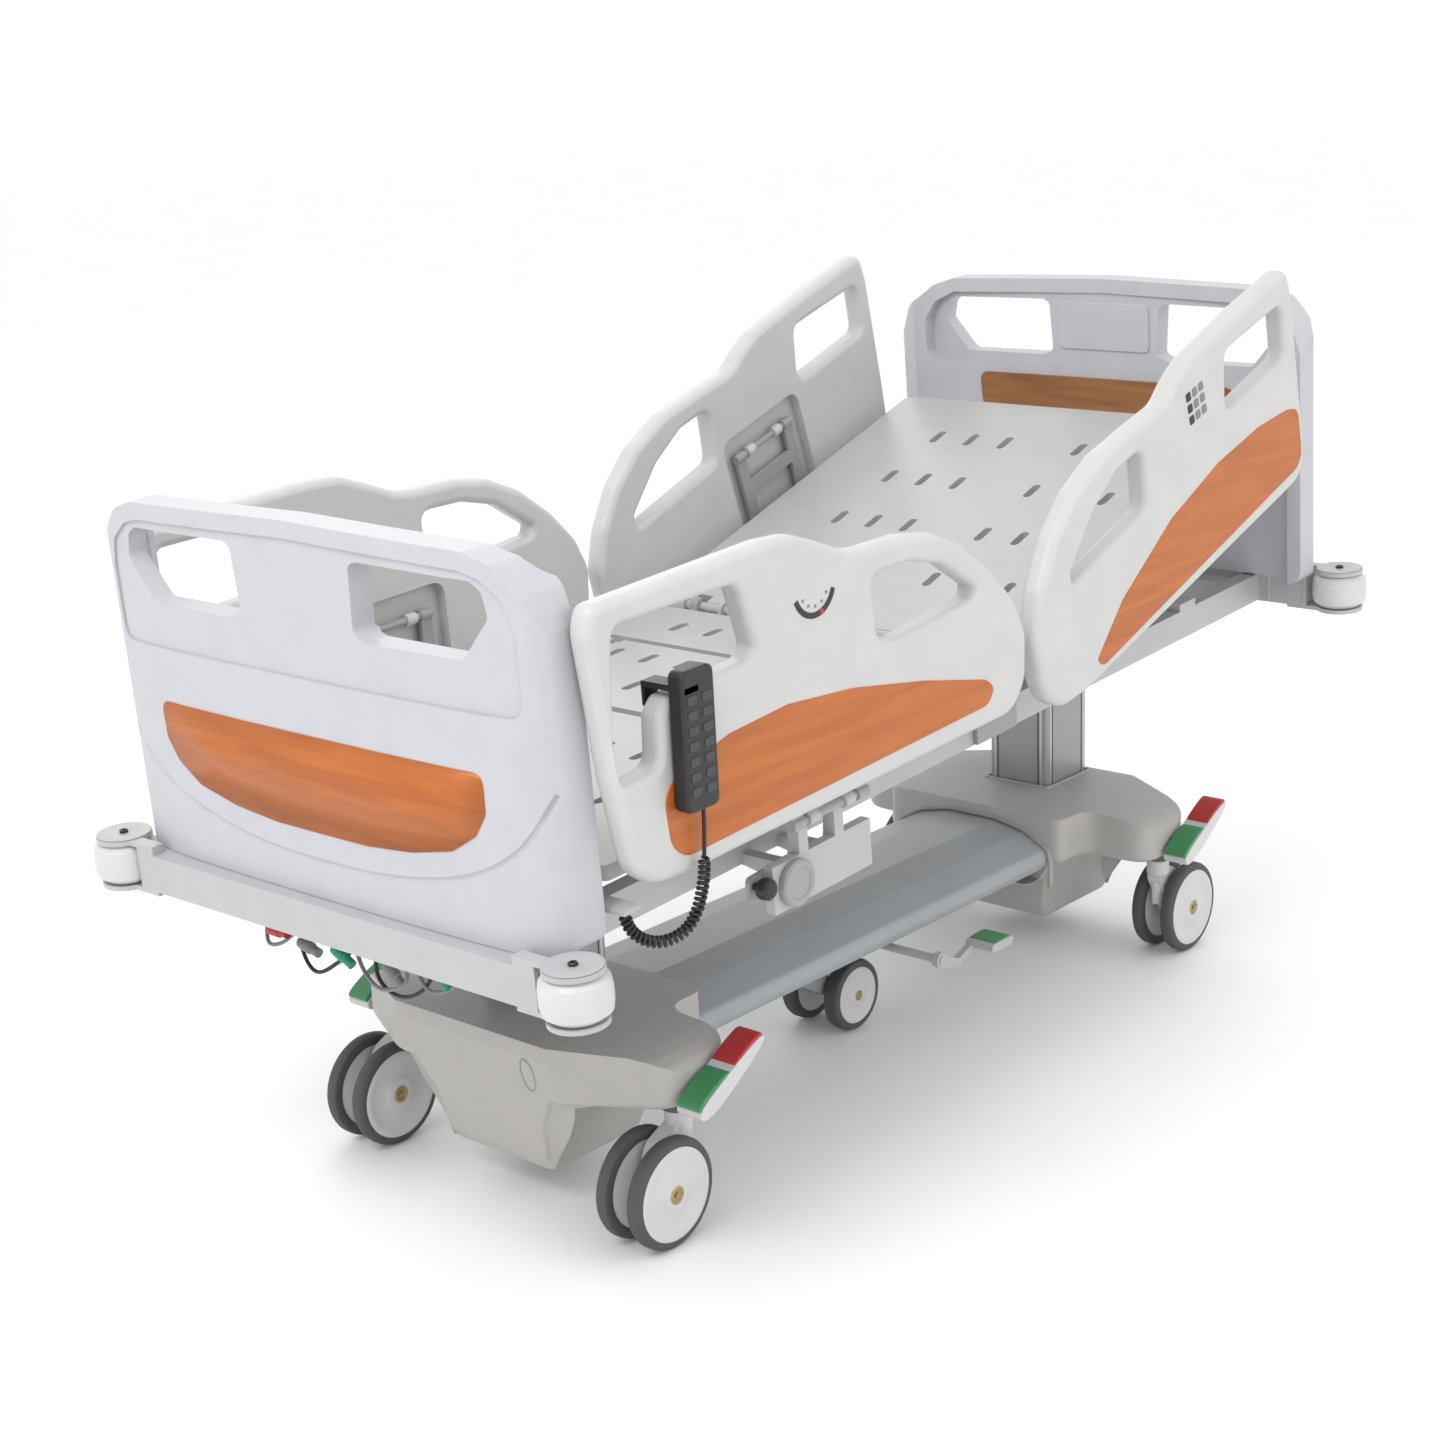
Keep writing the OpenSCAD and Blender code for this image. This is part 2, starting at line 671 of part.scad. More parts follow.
module leg_section() {
    color([0.83, 0.83, 0.84]) on_bed() difference() {
        union() {
            difference() {
                deck_plate(leg_end, knee_u - deck_gap / 2 - 6, deck_w_top, [-860, -700, -540]);
                for (s = [-1, 1]) side(s) translate([0, 0, 30]) linear_extrude(60)
                    polygon([[leg_end - 9, -348], [leg_end + 56, -416], [leg_end - 9, -416]]);
            }
            for (s = [-1, 1]) side(s) upright(268, 284) union() {
                translate([knee_u, 28]) circle(14);
                polygon([[knee_u, 14], [knee_u, 40], [knee_u - 16, 48], [-900, 48], [-900, 34]]);
            }
        }
        translate([knee_u, 0, 28]) ybar(7 + fit, -300, 300);
    }
}

// ---- actuators ----

module actuator_body(u0, u1, y, w) {
    translate([u0, y, w]) xbar(26, 40, u1 - u0);
    translate([u0 + 10, y - 34, w - 30]) cube([70, 68, 58]);
    translate([u0 - 20, y - 10, w - 14]) cube([34, 20, 28]);
}

module actuator_bodies() {
    color([0.18, 0.18, 0.19]) on_bed() difference() {
        union() {
            actuator_body(-306, 20, act_y, rod_w);
            actuator_body(-545, -240, 0, rod_w);
        }
        translate([-306, act_y, rod_w]) xbar(14, 90, 400);
        translate([-545, 0, rod_w]) xbar(14, 90, 400);
    }
}

// slotted end plate of an actuator rod around the lever pin
module yoke(u, y, w, rise) {
    translate([u, y, 0]) upright(-4.5, 4.5) difference() {
        translate([-22, rod_w - 12]) square([44, w + rise + 18 - rod_w + 12]);
        translate([0, w + rise / 2]) rrect(17.6, rise + 20, 8.7);
    }
}

module back_actuator_rod() {
    color("silver") on_bed() {
        translate([0, act_y, rod_w]) xbar(12, -150, back_u - 20);
        yoke(back_u, act_y, lever_w, 18);
    }
}

module knee_actuator_rod() {
    color("silver") on_bed() {
        translate([0, 0, rod_w]) xbar(12, -400, seat_u - 30);
        yoke(seat_u - 12, 0, back_w - 12 - lever_r, 10);
    }
}

module control_box() {
    color([0.3, 0.3, 0.31]) on_bed() {
        translate([-885, -110, frame_low - 2]) cube([175, 220, 62]);
    }
}

// ---- end boards ----

module board_front() {
    h = board_w / 2;
    difference() {
        soft(34) polygon([[-h, board_low], [-h + 2, board_top - 110], [-h + 34, board_top - 36],
            [-h + 96, board_top - 8], [0, board_top], [h - 96, board_top - 8],
            [h - 34, board_top - 36], [h - 2, board_top - 110], [h, board_low]]);
        for (s = [-1, 1]) scale([s, 1]) soft(16) polygon(board_hole);
    }
}

function board_half(h) = [[-board_u - 4, h - 160], [-board_u + 4, h - 40],
    [-board_u + 16, h - 10], [-board_u + 34, h], [-board_u + board_return, h],
    [-board_u + board_return, h - 26], [-board_u + board_t + 14, h - 44],
    [-board_u + board_t, h - 120]];

module board_plan() {
    a = board_half(board_w / 2);
    n = len(a);
    polygon(concat([[-board_u - 6, 0]], a, [[-board_u + board_t - 6, 0]],
        [for (i = [n - 1:-1:0]) [a[i][0], -a[i][1]]]));
}

module board() {
    intersection() {
        rotate([90, 0, 90]) translate([0, 0, -board_u - 20]) linear_extrude(120) board_front();
        translate([0, 0, board_low - 1]) linear_extrude(600) board_plan();
    }
}

module board_cut() {
    across(-board_u - 10, -board_u) soft(12) offset(delta = eps) polygon(board_panel_pts);
    across(-board_u + board_t - 9.5, -board_u + board_t + 2) soft(12)
        offset(delta = eps) polygon(board_inner_pts);
}

module board_with_posts() {
    difference() {
        board();
        board_cut();
        for (s = [-1, 1]) translate([-board_u + 15, s * 330, board_low - 1])
            cylinder(r = 9.4, h = 60);
    }
}

module board_panels() {
    across(-board_u - 6, -board_u) soft(12) polygon(board_panel_pts);
    across(-board_u + board_t - 9.5, -board_u + board_t - 4) soft(12) polygon(board_inner_pts);
}

module footboard() { color([0.82, 0.82, 0.84]) on_bed() board_with_posts(); }
module footboard_panel() { color([0.75, 0.4, 0.12]) on_bed() board_panels(); }
module headboard() { color([0.82, 0.82, 0.84]) on_bed() mirror([1, 0, 0]) board_with_posts(); }
module headboard_panel() {
    color([0.75, 0.4, 0.12]) on_bed() mirror([1, 0, 0]) board_panels();
}

// ---- side rails ----

module arm_pocket(c, v) {
    translate([c, v + 48]) translate([0, -150]) rrect(230, 300, 28);
}

module rail_body(c, v) {
    // children: outline, opening a, opening b, insert
    difference() {
        upright(rail_in, rail_out) difference() {
            soft(22) children(0);
            soft(14) children(1);
            soft(14) children(2);
        }
        upright(rail_in - 1, rail_in + pocket_d) arm_pocket(c, v);
        upright(rail_out - 3, rail_out + 1) soft(14) offset(delta = eps) children(3);
    }
    for (k = [-1, 1]) translate([c + k * 40 - 10, 0, 0]) rotate([90, 0, 90]) linear_extrude(20)
        difference() {
            union() {
                translate([-rail_mid, v]) circle(hub_r);
                translate([-rail_in - pocket_d - 0.5, v - hub_r])
                    square([pocket_d - 6.5, 2 * hub_r]);
            }
            translate([-rail_mid, v]) circle(pin_r + fit);
        }
}

module foot_rail() {
    rail_body(foot_arm_u, foot_pivot + arm_len) {
        polygon(foot_rail_pts);
        polygon(foot_rail_open_a);
        polygon(foot_rail_open_b);
        polygon(foot_insert_pts);
    }
}

module head_rail() {
    rail_body(head_arm_s, head_pivot + arm_len) {
        polygon(head_rail_pts);
        polygon(head_rail_open_a);
        polygon(head_rail_open_b);
        polygon(head_insert_pts);
    }
}

module rail_color() { color([0.87, 0.87, 0.86]) children(); }
module insert_color() { color([0.77, 0.42, 0.12]) children(); }

module rail_foot_left() { rail_color() on_bed() foot_rail(); }
module rail_foot_right() { rail_color() on_bed() side(1) foot_rail(); }
module rail_head_left() { rail_color() on_back() head_rail(); }
module rail_head_right() { rail_color() on_back() side(1) head_rail(); }

module insert(pts) {
    upright(rail_out - 3, rail_out + 1) soft(14) polygon(pts);
}

module insert_foot_left() { insert_color() on_bed() insert(foot_insert_pts); }
module insert_foot_right() { insert_color() on_bed() side(1) insert(foot_insert_pts); }
module insert_head_left() { insert_color() on_back() insert(head_insert_pts); }
module insert_head_right() { insert_color() on_back() side(1) insert(head_insert_pts); }

module arms(c, v) {
    color([0.7, 0.7, 0.71]) translate([c, -rail_mid, v]) {
        for (w = [0, arm_len]) translate([0, 0, w])
            xbar(pin_r, -arm_gap - arm_w / 2, arm_gap + arm_w / 2);
        for (k = [-1, 1]) {
            for (w = [0, arm_len]) translate([k * arm_gap - arm_w / 2, 0, w]) xbar(9, 0, arm_w);
            translate([k * arm_gap - arm_w / 2, -4, 0]) cube([arm_w, 8, arm_len]);
        }
        translate([-arm_gap, -4, arm_len * 0.5]) cube([2 * arm_gap, 8, 24]);
    }
}

module arms_foot_left() { on_bed() arms(foot_arm_u, foot_pivot); }
module arms_foot_right() { on_bed() side(1) arms(foot_arm_u, foot_pivot); }
module arms_head_left() { on_back() arms(head_arm_s, head_pivot); }
module arms_head_right() { on_back() side(1) arms(head_arm_s, head_pivot); }

// ---- handset and cord ----

module handset() {
    color([0.08, 0.08, 0.09]) on_bed() {
        upright(rail_out + 1.5, rail_out + 28) translate([-783, 222]) rotate(-2) rrect(62, 186, 8);
        translate([-807, -rail_out - 1.6, 284]) cube([26, rail_t + 6, 8]);
        translate([-807, -rail_in + 1.5, 262]) cube([26, 5, 30]);
    }
}

function dir(a, b) = (b - a) / norm(b - a);
function tangent(p, i) = i == 0 ? dir(p[0], p[1])
    : i == len(p) - 1 ? dir(p[i - 1], p[i]) : dir(p[i - 1], p[i + 1]);
function ring(p, t, r, n) = let (a = cross(t, [1, 0, 0.2]), e = a / norm(a), f = cross(t, e))
    [for (k = [0:n - 1]) p + r * (cos(360 * k / n) * e + sin(360 * k / n) * f)];

module sweep(path, d, n) {
    m = len(path);
    pts = [for (i = [0:m - 1]) each ring(path[i], tangent(path, i), d / 2, n)];
    sides = [for (i = [0:m - 2], k = [0:n - 1], h = [0, 1]) h == 0
        ? [i * n + k, i * n + (k + 1) % n, (i + 1) * n + (k + 1) % n]
        : [i * n + k, (i + 1) * n + (k + 1) % n, (i + 1) * n + k]];
    polyhedron(pts, concat(sides, [[for (k = [n - 1:-1:0]) k]],
        [[for (k = [0:n - 1]) (m - 1) * n + k]]));
}

module handset_cord_lead() {
    color([0.07, 0.07, 0.08]) on_bed() sweep(cord_lead_pts, cord_lead_d, 8);
}

module handset_cord_coil() {
    color([0.07, 0.07, 0.08]) on_bed() sweep(cord_coil_pts, cord_coil_d, 10);
}

base_frame();
base_beam_cover();
base_cover_head();
base_cover_foot();
head_column_lower();
head_column_middle();
head_column_top();
foot_column_lower();
foot_column_middle();
foot_column_top();
castor_fork_foot_left();
castor_fork_foot_right();
castor_fork_head_left();
castor_fork_head_right();
castor_wheels_foot_left();
castor_wheels_foot_right();
castor_wheels_head_left();
castor_wheels_head_right();
brake_pedal_foot_left();
brake_pedal_foot_right();
brake_pedal_head_left();
brake_pedal_head_right();
steer_arm();
steer_wheels();
steer_pedal();
bed_frame();
head_end_beam();
foot_end_beam();
seat_section();
control_box();
actuator_bodies();
back_carriage();
back_section();
thigh_section();
leg_section();
back_actuator_rod();
knee_actuator_rod();
headboard();
headboard_panel();
footboard();
footboard_panel();
rail_foot_left();
rail_foot_right();
rail_head_left();
rail_head_right();
insert_foot_left();
insert_foot_right();
insert_head_left();
insert_head_right();
arms_foot_left();
arms_foot_right();
arms_head_left();
arms_head_right();
bumper_foot_left();
bumper_foot_right();
bumper_head_left();
bumper_head_right();
handset();
handset_cord_lead();
handset_cord_coil();
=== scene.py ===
from math import cos, pi, radians, sin, tan

import bmesh
import bpy
from mathutils import Matrix, Vector


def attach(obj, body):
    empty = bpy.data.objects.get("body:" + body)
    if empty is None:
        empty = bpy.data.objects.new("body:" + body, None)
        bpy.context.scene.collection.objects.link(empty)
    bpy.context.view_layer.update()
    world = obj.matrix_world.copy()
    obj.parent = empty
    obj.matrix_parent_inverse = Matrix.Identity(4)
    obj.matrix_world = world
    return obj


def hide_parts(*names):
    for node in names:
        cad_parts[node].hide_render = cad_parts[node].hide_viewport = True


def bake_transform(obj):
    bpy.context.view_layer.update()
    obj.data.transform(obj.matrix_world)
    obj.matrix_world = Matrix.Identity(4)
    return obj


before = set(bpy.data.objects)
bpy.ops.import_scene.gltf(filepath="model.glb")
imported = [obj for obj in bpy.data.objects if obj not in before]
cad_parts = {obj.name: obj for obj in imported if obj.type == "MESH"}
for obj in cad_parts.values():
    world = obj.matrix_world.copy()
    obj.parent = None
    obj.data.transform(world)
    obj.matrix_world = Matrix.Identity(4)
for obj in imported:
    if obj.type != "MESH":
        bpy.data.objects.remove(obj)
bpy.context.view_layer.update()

# ---- the frames of part.scad, in metres ----
MM = 0.001
BED = Matrix.Translation((-0.013, 0, 0.625)) @ Matrix.Rotation(radians(-3.5), 4, "Y")
BACK = BED @ Matrix.Translation((0.115, 0, 0.060)) @ Matrix.Rotation(radians(-15), 4, "Y")
WORLD = Matrix.Identity(4)
FLIP_X = Matrix.Scale(-1, 4, (1, 0, 0))
FLIP_Y = Matrix.Scale(-1, 4, (0, 1, 0))
# drawing planes: local x, y are drawn, local z is the thickness
SIDE = Matrix.Rotation(radians(90), 4, "X")
FRONT = Matrix(((0, 0, 1, 0), (1, 0, 0, 0), (0, 1, 0, 0), (0, 0, 0, 1)))

# ---- sizes of part.scad that several pieces share, in mm ----
STEM_X, STEM_Y = 655, 287
WHEEL_SWEEP = 149
RAIL_IN, RAIL_OUT, RAIL_MID = 430, 470, 437
COLUMN_X, COLUMN_Y = 68, 63.5
BOARD_LOW, BOARD_HIGH = -22, 520


# ---- materials ----
def link(tree, a, b):
    tree.links.new(a, b)


def material(name, color, rough=0.5, metal=0.0, coat=0.0, tint=0.04, scale=18.0, bump=0.02,
             grain=180.0, dark=None):
    m = bpy.data.materials.new(name)
    m.use_nodes = True
    t = m.node_tree
    bsdf = t.nodes["Principled BSDF"]
    coord = t.nodes.new("ShaderNodeTexCoord")
    noise = t.nodes.new("ShaderNodeTexNoise")
    noise.inputs["Scale"].default_value = scale
    noise.inputs["Detail"].default_value = 4
    ramp = t.nodes.new("ShaderNodeValToRGB")
    lo = dark or [max(0, c * (1 - tint)) for c in color]
    ramp.color_ramp.elements[0].position = 0.35
    ramp.color_ramp.elements[0].color = (*lo, 1)
    ramp.color_ramp.elements[1].position = 0.65
    ramp.color_ramp.elements[1].color = (*color, 1)
    link(t, coord.outputs["Object"], noise.inputs["Vector"])
    link(t, noise.outputs["Fac"], ramp.inputs["Fac"])
    link(t, ramp.outputs["Color"], bsdf.inputs["Base Color"])
    fine = t.nodes.new("ShaderNodeTexNoise")
    fine.inputs["Scale"].default_value = grain * 6
    fine.inputs["Detail"].default_value = 3
    link(t, coord.outputs["Object"], fine.inputs["Vector"])
    rr = t.nodes.new("ShaderNodeMapRange")
    rr.inputs["To Min"].default_value = max(0.02, rough - 0.05)
    rr.inputs["To Max"].default_value = min(1, rough + 0.05)
    link(t, noise.outputs["Fac"], rr.inputs["Value"])
    link(t, rr.outputs["Result"], bsdf.inputs["Roughness"])
    b = t.nodes.new("ShaderNodeBump")
    b.inputs["Strength"].default_value = bump
    b.inputs["Distance"].default_value = 0.001
    link(t, fine.outputs["Fac"], b.inputs["Height"])
    link(t, b.outputs["Normal"], bsdf.inputs["Normal"])
    bsdf.inputs["Metallic"].default_value = metal
    bsdf.inputs["Coat Weight"].default_value = coat
    bsdf.inputs["Coat Roughness"].default_value = 0.15
    return m


def wood(name, light, dark, axis):
    m = bpy.data.materials.new(name)
    m.use_nodes = True
    t = m.node_tree
    bsdf = t.nodes["Principled BSDF"]
    coord = t.nodes.new("ShaderNodeTexCoord")
    mp = t.nodes.new("ShaderNodeMapping")
    mp.inputs["Scale"].default_value = [1.2 if i == axis else 16 for i in range(3)]
    n = t.nodes.new("ShaderNodeTexNoise")
    n.inputs["Scale"].default_value = 3.2
    n.inputs["Detail"].default_value = 7
    n.inputs["Distortion"].default_value = 0.6
    ramp = t.nodes.new("ShaderNodeValToRGB")
    ramp.color_ramp.elements[0].position = 0.32
    ramp.color_ramp.elements[0].color = (*dark, 1)
    ramp.color_ramp.elements[1].position = 0.66
    ramp.color_ramp.elements[1].color = (*light, 1)
    link(t, coord.outputs["Object"], mp.inputs["Vector"])
    link(t, mp.outputs["Vector"], n.inputs["Vector"])
    link(t, n.outputs["Fac"], ramp.inputs["Fac"])
    link(t, ramp.outputs["Color"], bsdf.inputs["Base Color"])
    b = t.nodes.new("ShaderNodeBump")
    b.inputs["Strength"].default_value = 0.05
    b.inputs["Distance"].default_value = 0.0005
    link(t, n.outputs["Fac"], b.inputs["Height"])
    link(t, b.outputs["Normal"], bsdf.inputs["Normal"])
    bsdf.inputs["Roughness"].default_value = 0.42
    bsdf.inputs["Coat Weight"].default_value = 0.1
    return m


BOARD = material("board_grey", (0.50, 0.505, 0.535), 0.42, bump=0.05)
RAIL = material("rail_white", (0.56, 0.56, 0.555), 0.42, bump=0.05)
COVER = material("cover_grey", (0.44, 0.425, 0.41), 0.5, bump=0.08)
BEAM = material("beam_silver", (0.36, 0.38, 0.395), 0.38, bump=0.04)
PAINT = material("frame_paint", (0.45, 0.45, 0.465), 0.36, bump=0.02)
DARKPAINT = material("base_paint", (0.10, 0.10, 0.11), 0.5)
COLUMN = material("column_anodised", (0.36, 0.35, 0.35), 0.36, metal=0.35, grain=300)
# the light column strip is a painted highlight near each column corner, and the near-black groove strip is
# painted shade standing in for the face grooves
PAINTED_HIGHLIGHT_STRIP = material("column_painted_highlight", (0.55, 0.55, 0.56), 0.3, metal=0.6)
GROOVE_PAINTED_SHADE = material("column_groove_painted_shade", (0.05, 0.05, 0.055), 0.5)
DECK = material("deck_sheet", (0.45, 0.45, 0.445), 0.36, bump=0.03)
WHITE = material("castor_white", (0.60, 0.60, 0.60), 0.35)
TYRE = material("castor_tread", (0.075, 0.075, 0.08), 0.7)
BRASS = material("hub_brass", (0.42, 0.34, 0.17), 0.35, metal=0.8)
STEEL = material("bright_steel", (0.6, 0.6, 0.61), 0.22, metal=1.0)
LINK = material("linkage_paint", (0.33, 0.33, 0.34), 0.4)
BLACK = material("black_plastic", (0.016, 0.016, 0.018), 0.42, bump=0.06)
CORD = material("cord_sheath", (0.012, 0.012, 0.013), 0.5)
KEY = material("key_grey", (0.20, 0.21, 0.22), 0.5)
DARKKEY = material("key_dark", (0.045, 0.047, 0.052), 0.5)
GREEN = material("pedal_green", (0.055, 0.26, 0.10), 0.5)
RED = material("pedal_red", (0.45, 0.03, 0.03), 0.5)
GREENISH = material("connector_green", (0.02, 0.28, 0.16), 0.45)
RAILWOOD = wood("rail_wood", (0.50, 0.135, 0.012), (0.40, 0.098, 0.008), 0)
BOARDWOOD = wood("board_wood", (0.49, 0.130, 0.012), (0.36, 0.088, 0.008), 1)
INNERWOOD = wood("inner_wood", (0.34, 0.15, 0.05), (0.22, 0.09, 0.03), 1)


# ---- mesh helpers ----
def chaikin(pts, n=2):
    for _ in range(n):
        out = []
        for i, p in enumerate(pts):
            q = pts[(i + 1) % len(pts)]
            out.append((p[0] * 0.75 + q[0] * 0.25, p[1] * 0.75 + q[1] * 0.25))
            out.append((p[0] * 0.25 + q[0] * 0.75, p[1] * 0.25 + q[1] * 0.75))
        pts = out
    return pts


def fillet(pts, r, n=6):
    """Rounds each corner of a polygon with radius r, or less where its edges are short."""
    out = []
    m = len(pts)
    for i in range(m):
        p = Vector(pts[i])
        a = Vector(pts[i - 1]) - p
        b = Vector(pts[(i + 1) % m]) - p
        ang = a.angle(b)
        rr = r[i] if isinstance(r, (list, tuple)) else r
        cut = min(rr / max(1e-6, abs(tan(ang / 2))), 0.45 * a.length, 0.45 * b.length)
        s, e = p + a.normalized() * cut, p + b.normalized() * cut
        for k in range(n + 1):
            f = k / n
            q = s * (1 - f) ** 2 + p * 2 * f * (1 - f) + e * f ** 2
            out.append((q.x, q.y))
    return out


def to_object(name, bm, M, mat=None, smooth=35):
    me = bpy.data.meshes.new(name)
    bmesh.ops.recalc_face_normals(bm, faces=bm.faces)
    bm.to_mesh(me)
    bm.free()
    me.transform(M)
    if M.determinant() < 0:
        me.flip_normals()
    ob = bpy.data.objects.new(name, me)
    bpy.context.scene.collection.objects.link(ob)
    if mat:
        me.materials.append(mat)
    if smooth:
        me.shade_smooth()
        me.set_sharp_from_angle(angle=radians(smooth))
    return ob


def prism(name, pts, lo, hi, M, mat=None, smooth=35):
    """A plate with the drawn outline pts in mm, from lo to hi mm along local z."""
    bm = bmesh.new()
    a = [bm.verts.new((x * MM, y * MM, lo * MM)) for x, y in pts]
    b = [bm.verts.new((x * MM, y * MM, hi * MM)) for x, y in pts]
    bm.faces.new(a[::-1])
    bm.faces.new(b)
    n = len(pts)
    for i in range(n):
        bm.faces.new((a[i], a[(i + 1) % n], b[(i + 1) % n], b[i]))
    return to_object(name, bm, M, mat, smooth)


def grow_outline(pts, d):
    """The outline moved outwards by d mm, or inwards where d is negative."""
    n = len(pts)
    area2 = sum(pts[i - 1][0] * pts[i][1] - pts[i][0] * pts[i - 1][1] for i in range(n))
    turn = 1 if area2 > 0 else -1
    out = []
    for i, p in enumerate(pts):
        p = Vector(p)
        a = (p - Vector(pts[i - 1])).normalized()
        b = (Vector(pts[(i + 1) % n]) - p).normalized()
        na, nb = Vector((a.y, -a.x)) * turn, Vector((b.y, -b.x)) * turn
        m = na + nb
        k = d * 2 / max(0.8, m.length_squared)
        out.append((p.x + m.x * k, p.y + m.y * k))
    return out


def pillow(name, pts, lo, hi, r, M, mat=None, seg=5, flare=False):
    """A plate as prism draws it, with both rims rounded by r mm. With flare it is the
    cutter for an opening whose rims are rounded."""
    levels = []
    for k in range(seg + 1):
        a = 0.5 * pi * k / seg
        inset = r * (1 - sin(a))
        levels.append((lo + r * (1 - cos(a)), inset if flare else -inset))
    levels += [(lo + hi - z, d) for z, d in reversed(levels)]
    if flare:
        levels = [(lo - 6, r)] + levels + [(hi + 6, r)]
    bm = bmesh.new()
    rings = []
    for z, d in levels:
        outline = grow_outline(pts, d) if d else pts
        rings.append([bm.verts.new((x * MM, y * MM, z * MM)) for x, y in outline])
    bm.faces.new(rings[0][::-1])
    bm.faces.new(rings[-1])
    n = len(pts)
    for a, b in zip(rings, rings[1:]):
        for i in range(n):
            bm.faces.new((a[i], a[(i + 1) % n], b[(i + 1) % n], b[i]))
    return to_object(name, bm, M, mat, 50)


def lathe(name, prof, M, mat=None, n=48, smooth=35):
    """A turned shape: prof is a closed or open list of (radius, z) in mm, about local z."""
    bm = bmesh.new()
    rings = []
    for r, z in prof:
        if r < 0.01:
            rings.append([bm.verts.new((0, 0, z * MM))])
        else:
            rings.append([bm.verts.new((r * MM * cos(2 * pi * k / n), r * MM * sin(2 * pi * k / n), z * MM))
                          for k in range(n)])
    for a, b in zip(rings, rings[1:]):
        for k in range(n):
            q = [a[k % len(a)], a[(k + 1) % len(a)], b[(k + 1) % len(b)], b[k % len(b)]]
            q = [v for i, v in enumerate(q) if v not in q[:i]]
            if len(q) > 2:
                bm.faces.new(q)
    return to_object(name, bm, M, mat, smooth)


def tube_mesh(name, path, r, mat=None, n=10, cap=True):
    """A round tube in metres through the points of path."""
    bm = bmesh.new()
    pts = [Vector(p) for p in path]
    rings = []
    side = None
    for i, p in enumerate(pts):
        t = (pts[min(i + 1, len(pts) - 1)] - pts[max(i - 1, 0)]).normalized()
        if side is None:
            side = t.orthogonal().normalized()
        side = (side - t * side.dot(t)).normalized()
        other = t.cross(side)
        rings.append([bm.verts.new(p + r * (side * cos(2 * pi * k / n) + other * sin(2 * pi * k / n)))
                      for k in range(n)])
    for a, b in zip(rings, rings[1:]):
        for k in range(n):
            bm.faces.new((a[k], a[(k + 1) % n], b[(k + 1) % n], b[k]))
    if cap:
        bm.faces.new(rings[0][::-1])
        bm.faces.new(rings[-1])
    return to_object(name, bm, WORLD, mat, 40)


def apply_mods(ob):
    dg = bpy.context.evaluated_depsgraph_get()
    me = bpy.data.meshes.new_from_object(ob.evaluated_get(dg))
    old = ob.data
    ob.modifiers.clear()
    ob.data = me
    bpy.data.meshes.remove(old)


def boolean(ob, other, op="DIFFERENCE"):
    m = ob.modifiers.new("b", "BOOLEAN")
    m.operation = op
    m.object = other
    m.solver = "EXACT"
    apply_mods(ob)
    bpy.data.objects.remove(other, do_unlink=True)


def soften(ob, width, seg=3, angle=32, smooth=50):
    """Rounds the edges of ob sharper than angle."""
    m = ob.modifiers.new("bevel", "BEVEL")
    m.width = width * MM
    m.segments = seg
    m.limit_method = "ANGLE"
    m.angle_limit = radians(angle)
    m.use_clamp_overlap = True
    m.miter_outer = "MITER_ARC"
    apply_mods(ob)
    ob.data.shade_smooth()
    ob.data.set_sharp_from_angle(angle=radians(smooth))
    w = ob.modifiers.new("normals", "WEIGHTED_NORMAL")
    w.keep_sharp = True


def paint(ob, mat):
    ob.data.materials.clear()
    ob.data.materials.append(mat)


def cad(node, mat, bevel=0):
    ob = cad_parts[node]
    ob.data.materials.clear()
    ob.data.materials.append(mat)
    if bevel:
        d = ob.modifiers.new("flat", "DECIMATE")
        d.decimate_type = "DISSOLVE"
        d.angle_limit = radians(4)
        b = ob.modifiers.new("bevel", "BEVEL")
        b.width = bevel * MM
        b.segments = 2
        b.limit_method = "ANGLE"
        b.angle_limit = radians(40)
        b.use_clamp_overlap = True
    return ob


def smooth_line(points, step):
    """Points every step metres along a Catmull-Rom curve through points."""
    P = [Vector(p) for p in points]
    P = [P[0] * 2 - P[1]] + P + [P[-1] * 2 - P[-2]]
    fine = []
    for a, b, c, d in zip(P, P[1:], P[2:], P[3:]):
        for k in range(20):
            t = k / 20
            fine.append(0.5 * (2 * b + (c - a) * t + (2 * a - 5 * b + 4 * c - d) * t * t
                               + (3 * b - a - 3 * c + d) * t ** 3))
    fine.append(P[-2])
    out, left = [fine[0]], step
    for a, b in zip(fine, fine[1:]):
        seg = (b - a).length
        while seg >= left and seg > 0:
            a = a.lerp(b, left / seg)
            out.append(a)
            seg = (b - a).length
            left = step
        left -= seg
    return out


def place(ob, slot, body, *nodes):
    """Hangs a piece on the body it rides and hides the nodes it stands for; slot is not used."""
    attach(ob, body)
    if nodes:
        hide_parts(*nodes)


def spot(F, x, y, z, angle=0, axis="X"):
    """The frame F moved to x, y, z in mm, then turned about an axis."""
    return F @ Matrix.Translation((x * MM, y * MM, z * MM)) @ Matrix.Rotation(radians(angle), 4, axis)


def rect(x0, y0, x1, y1):
    return [(x0, y0), (x1, y0), (x1, y1), (x0, y1)]


def circle(cx, cy, r, n=24):
    return [(cx + r * cos(2 * pi * k / n), cy + r * sin(2 * pi * k / n)) for k in range(n)]


ENDS = (("foot", -1), ("head", 1))
SIDES = (("left", -1), ("right", 1))

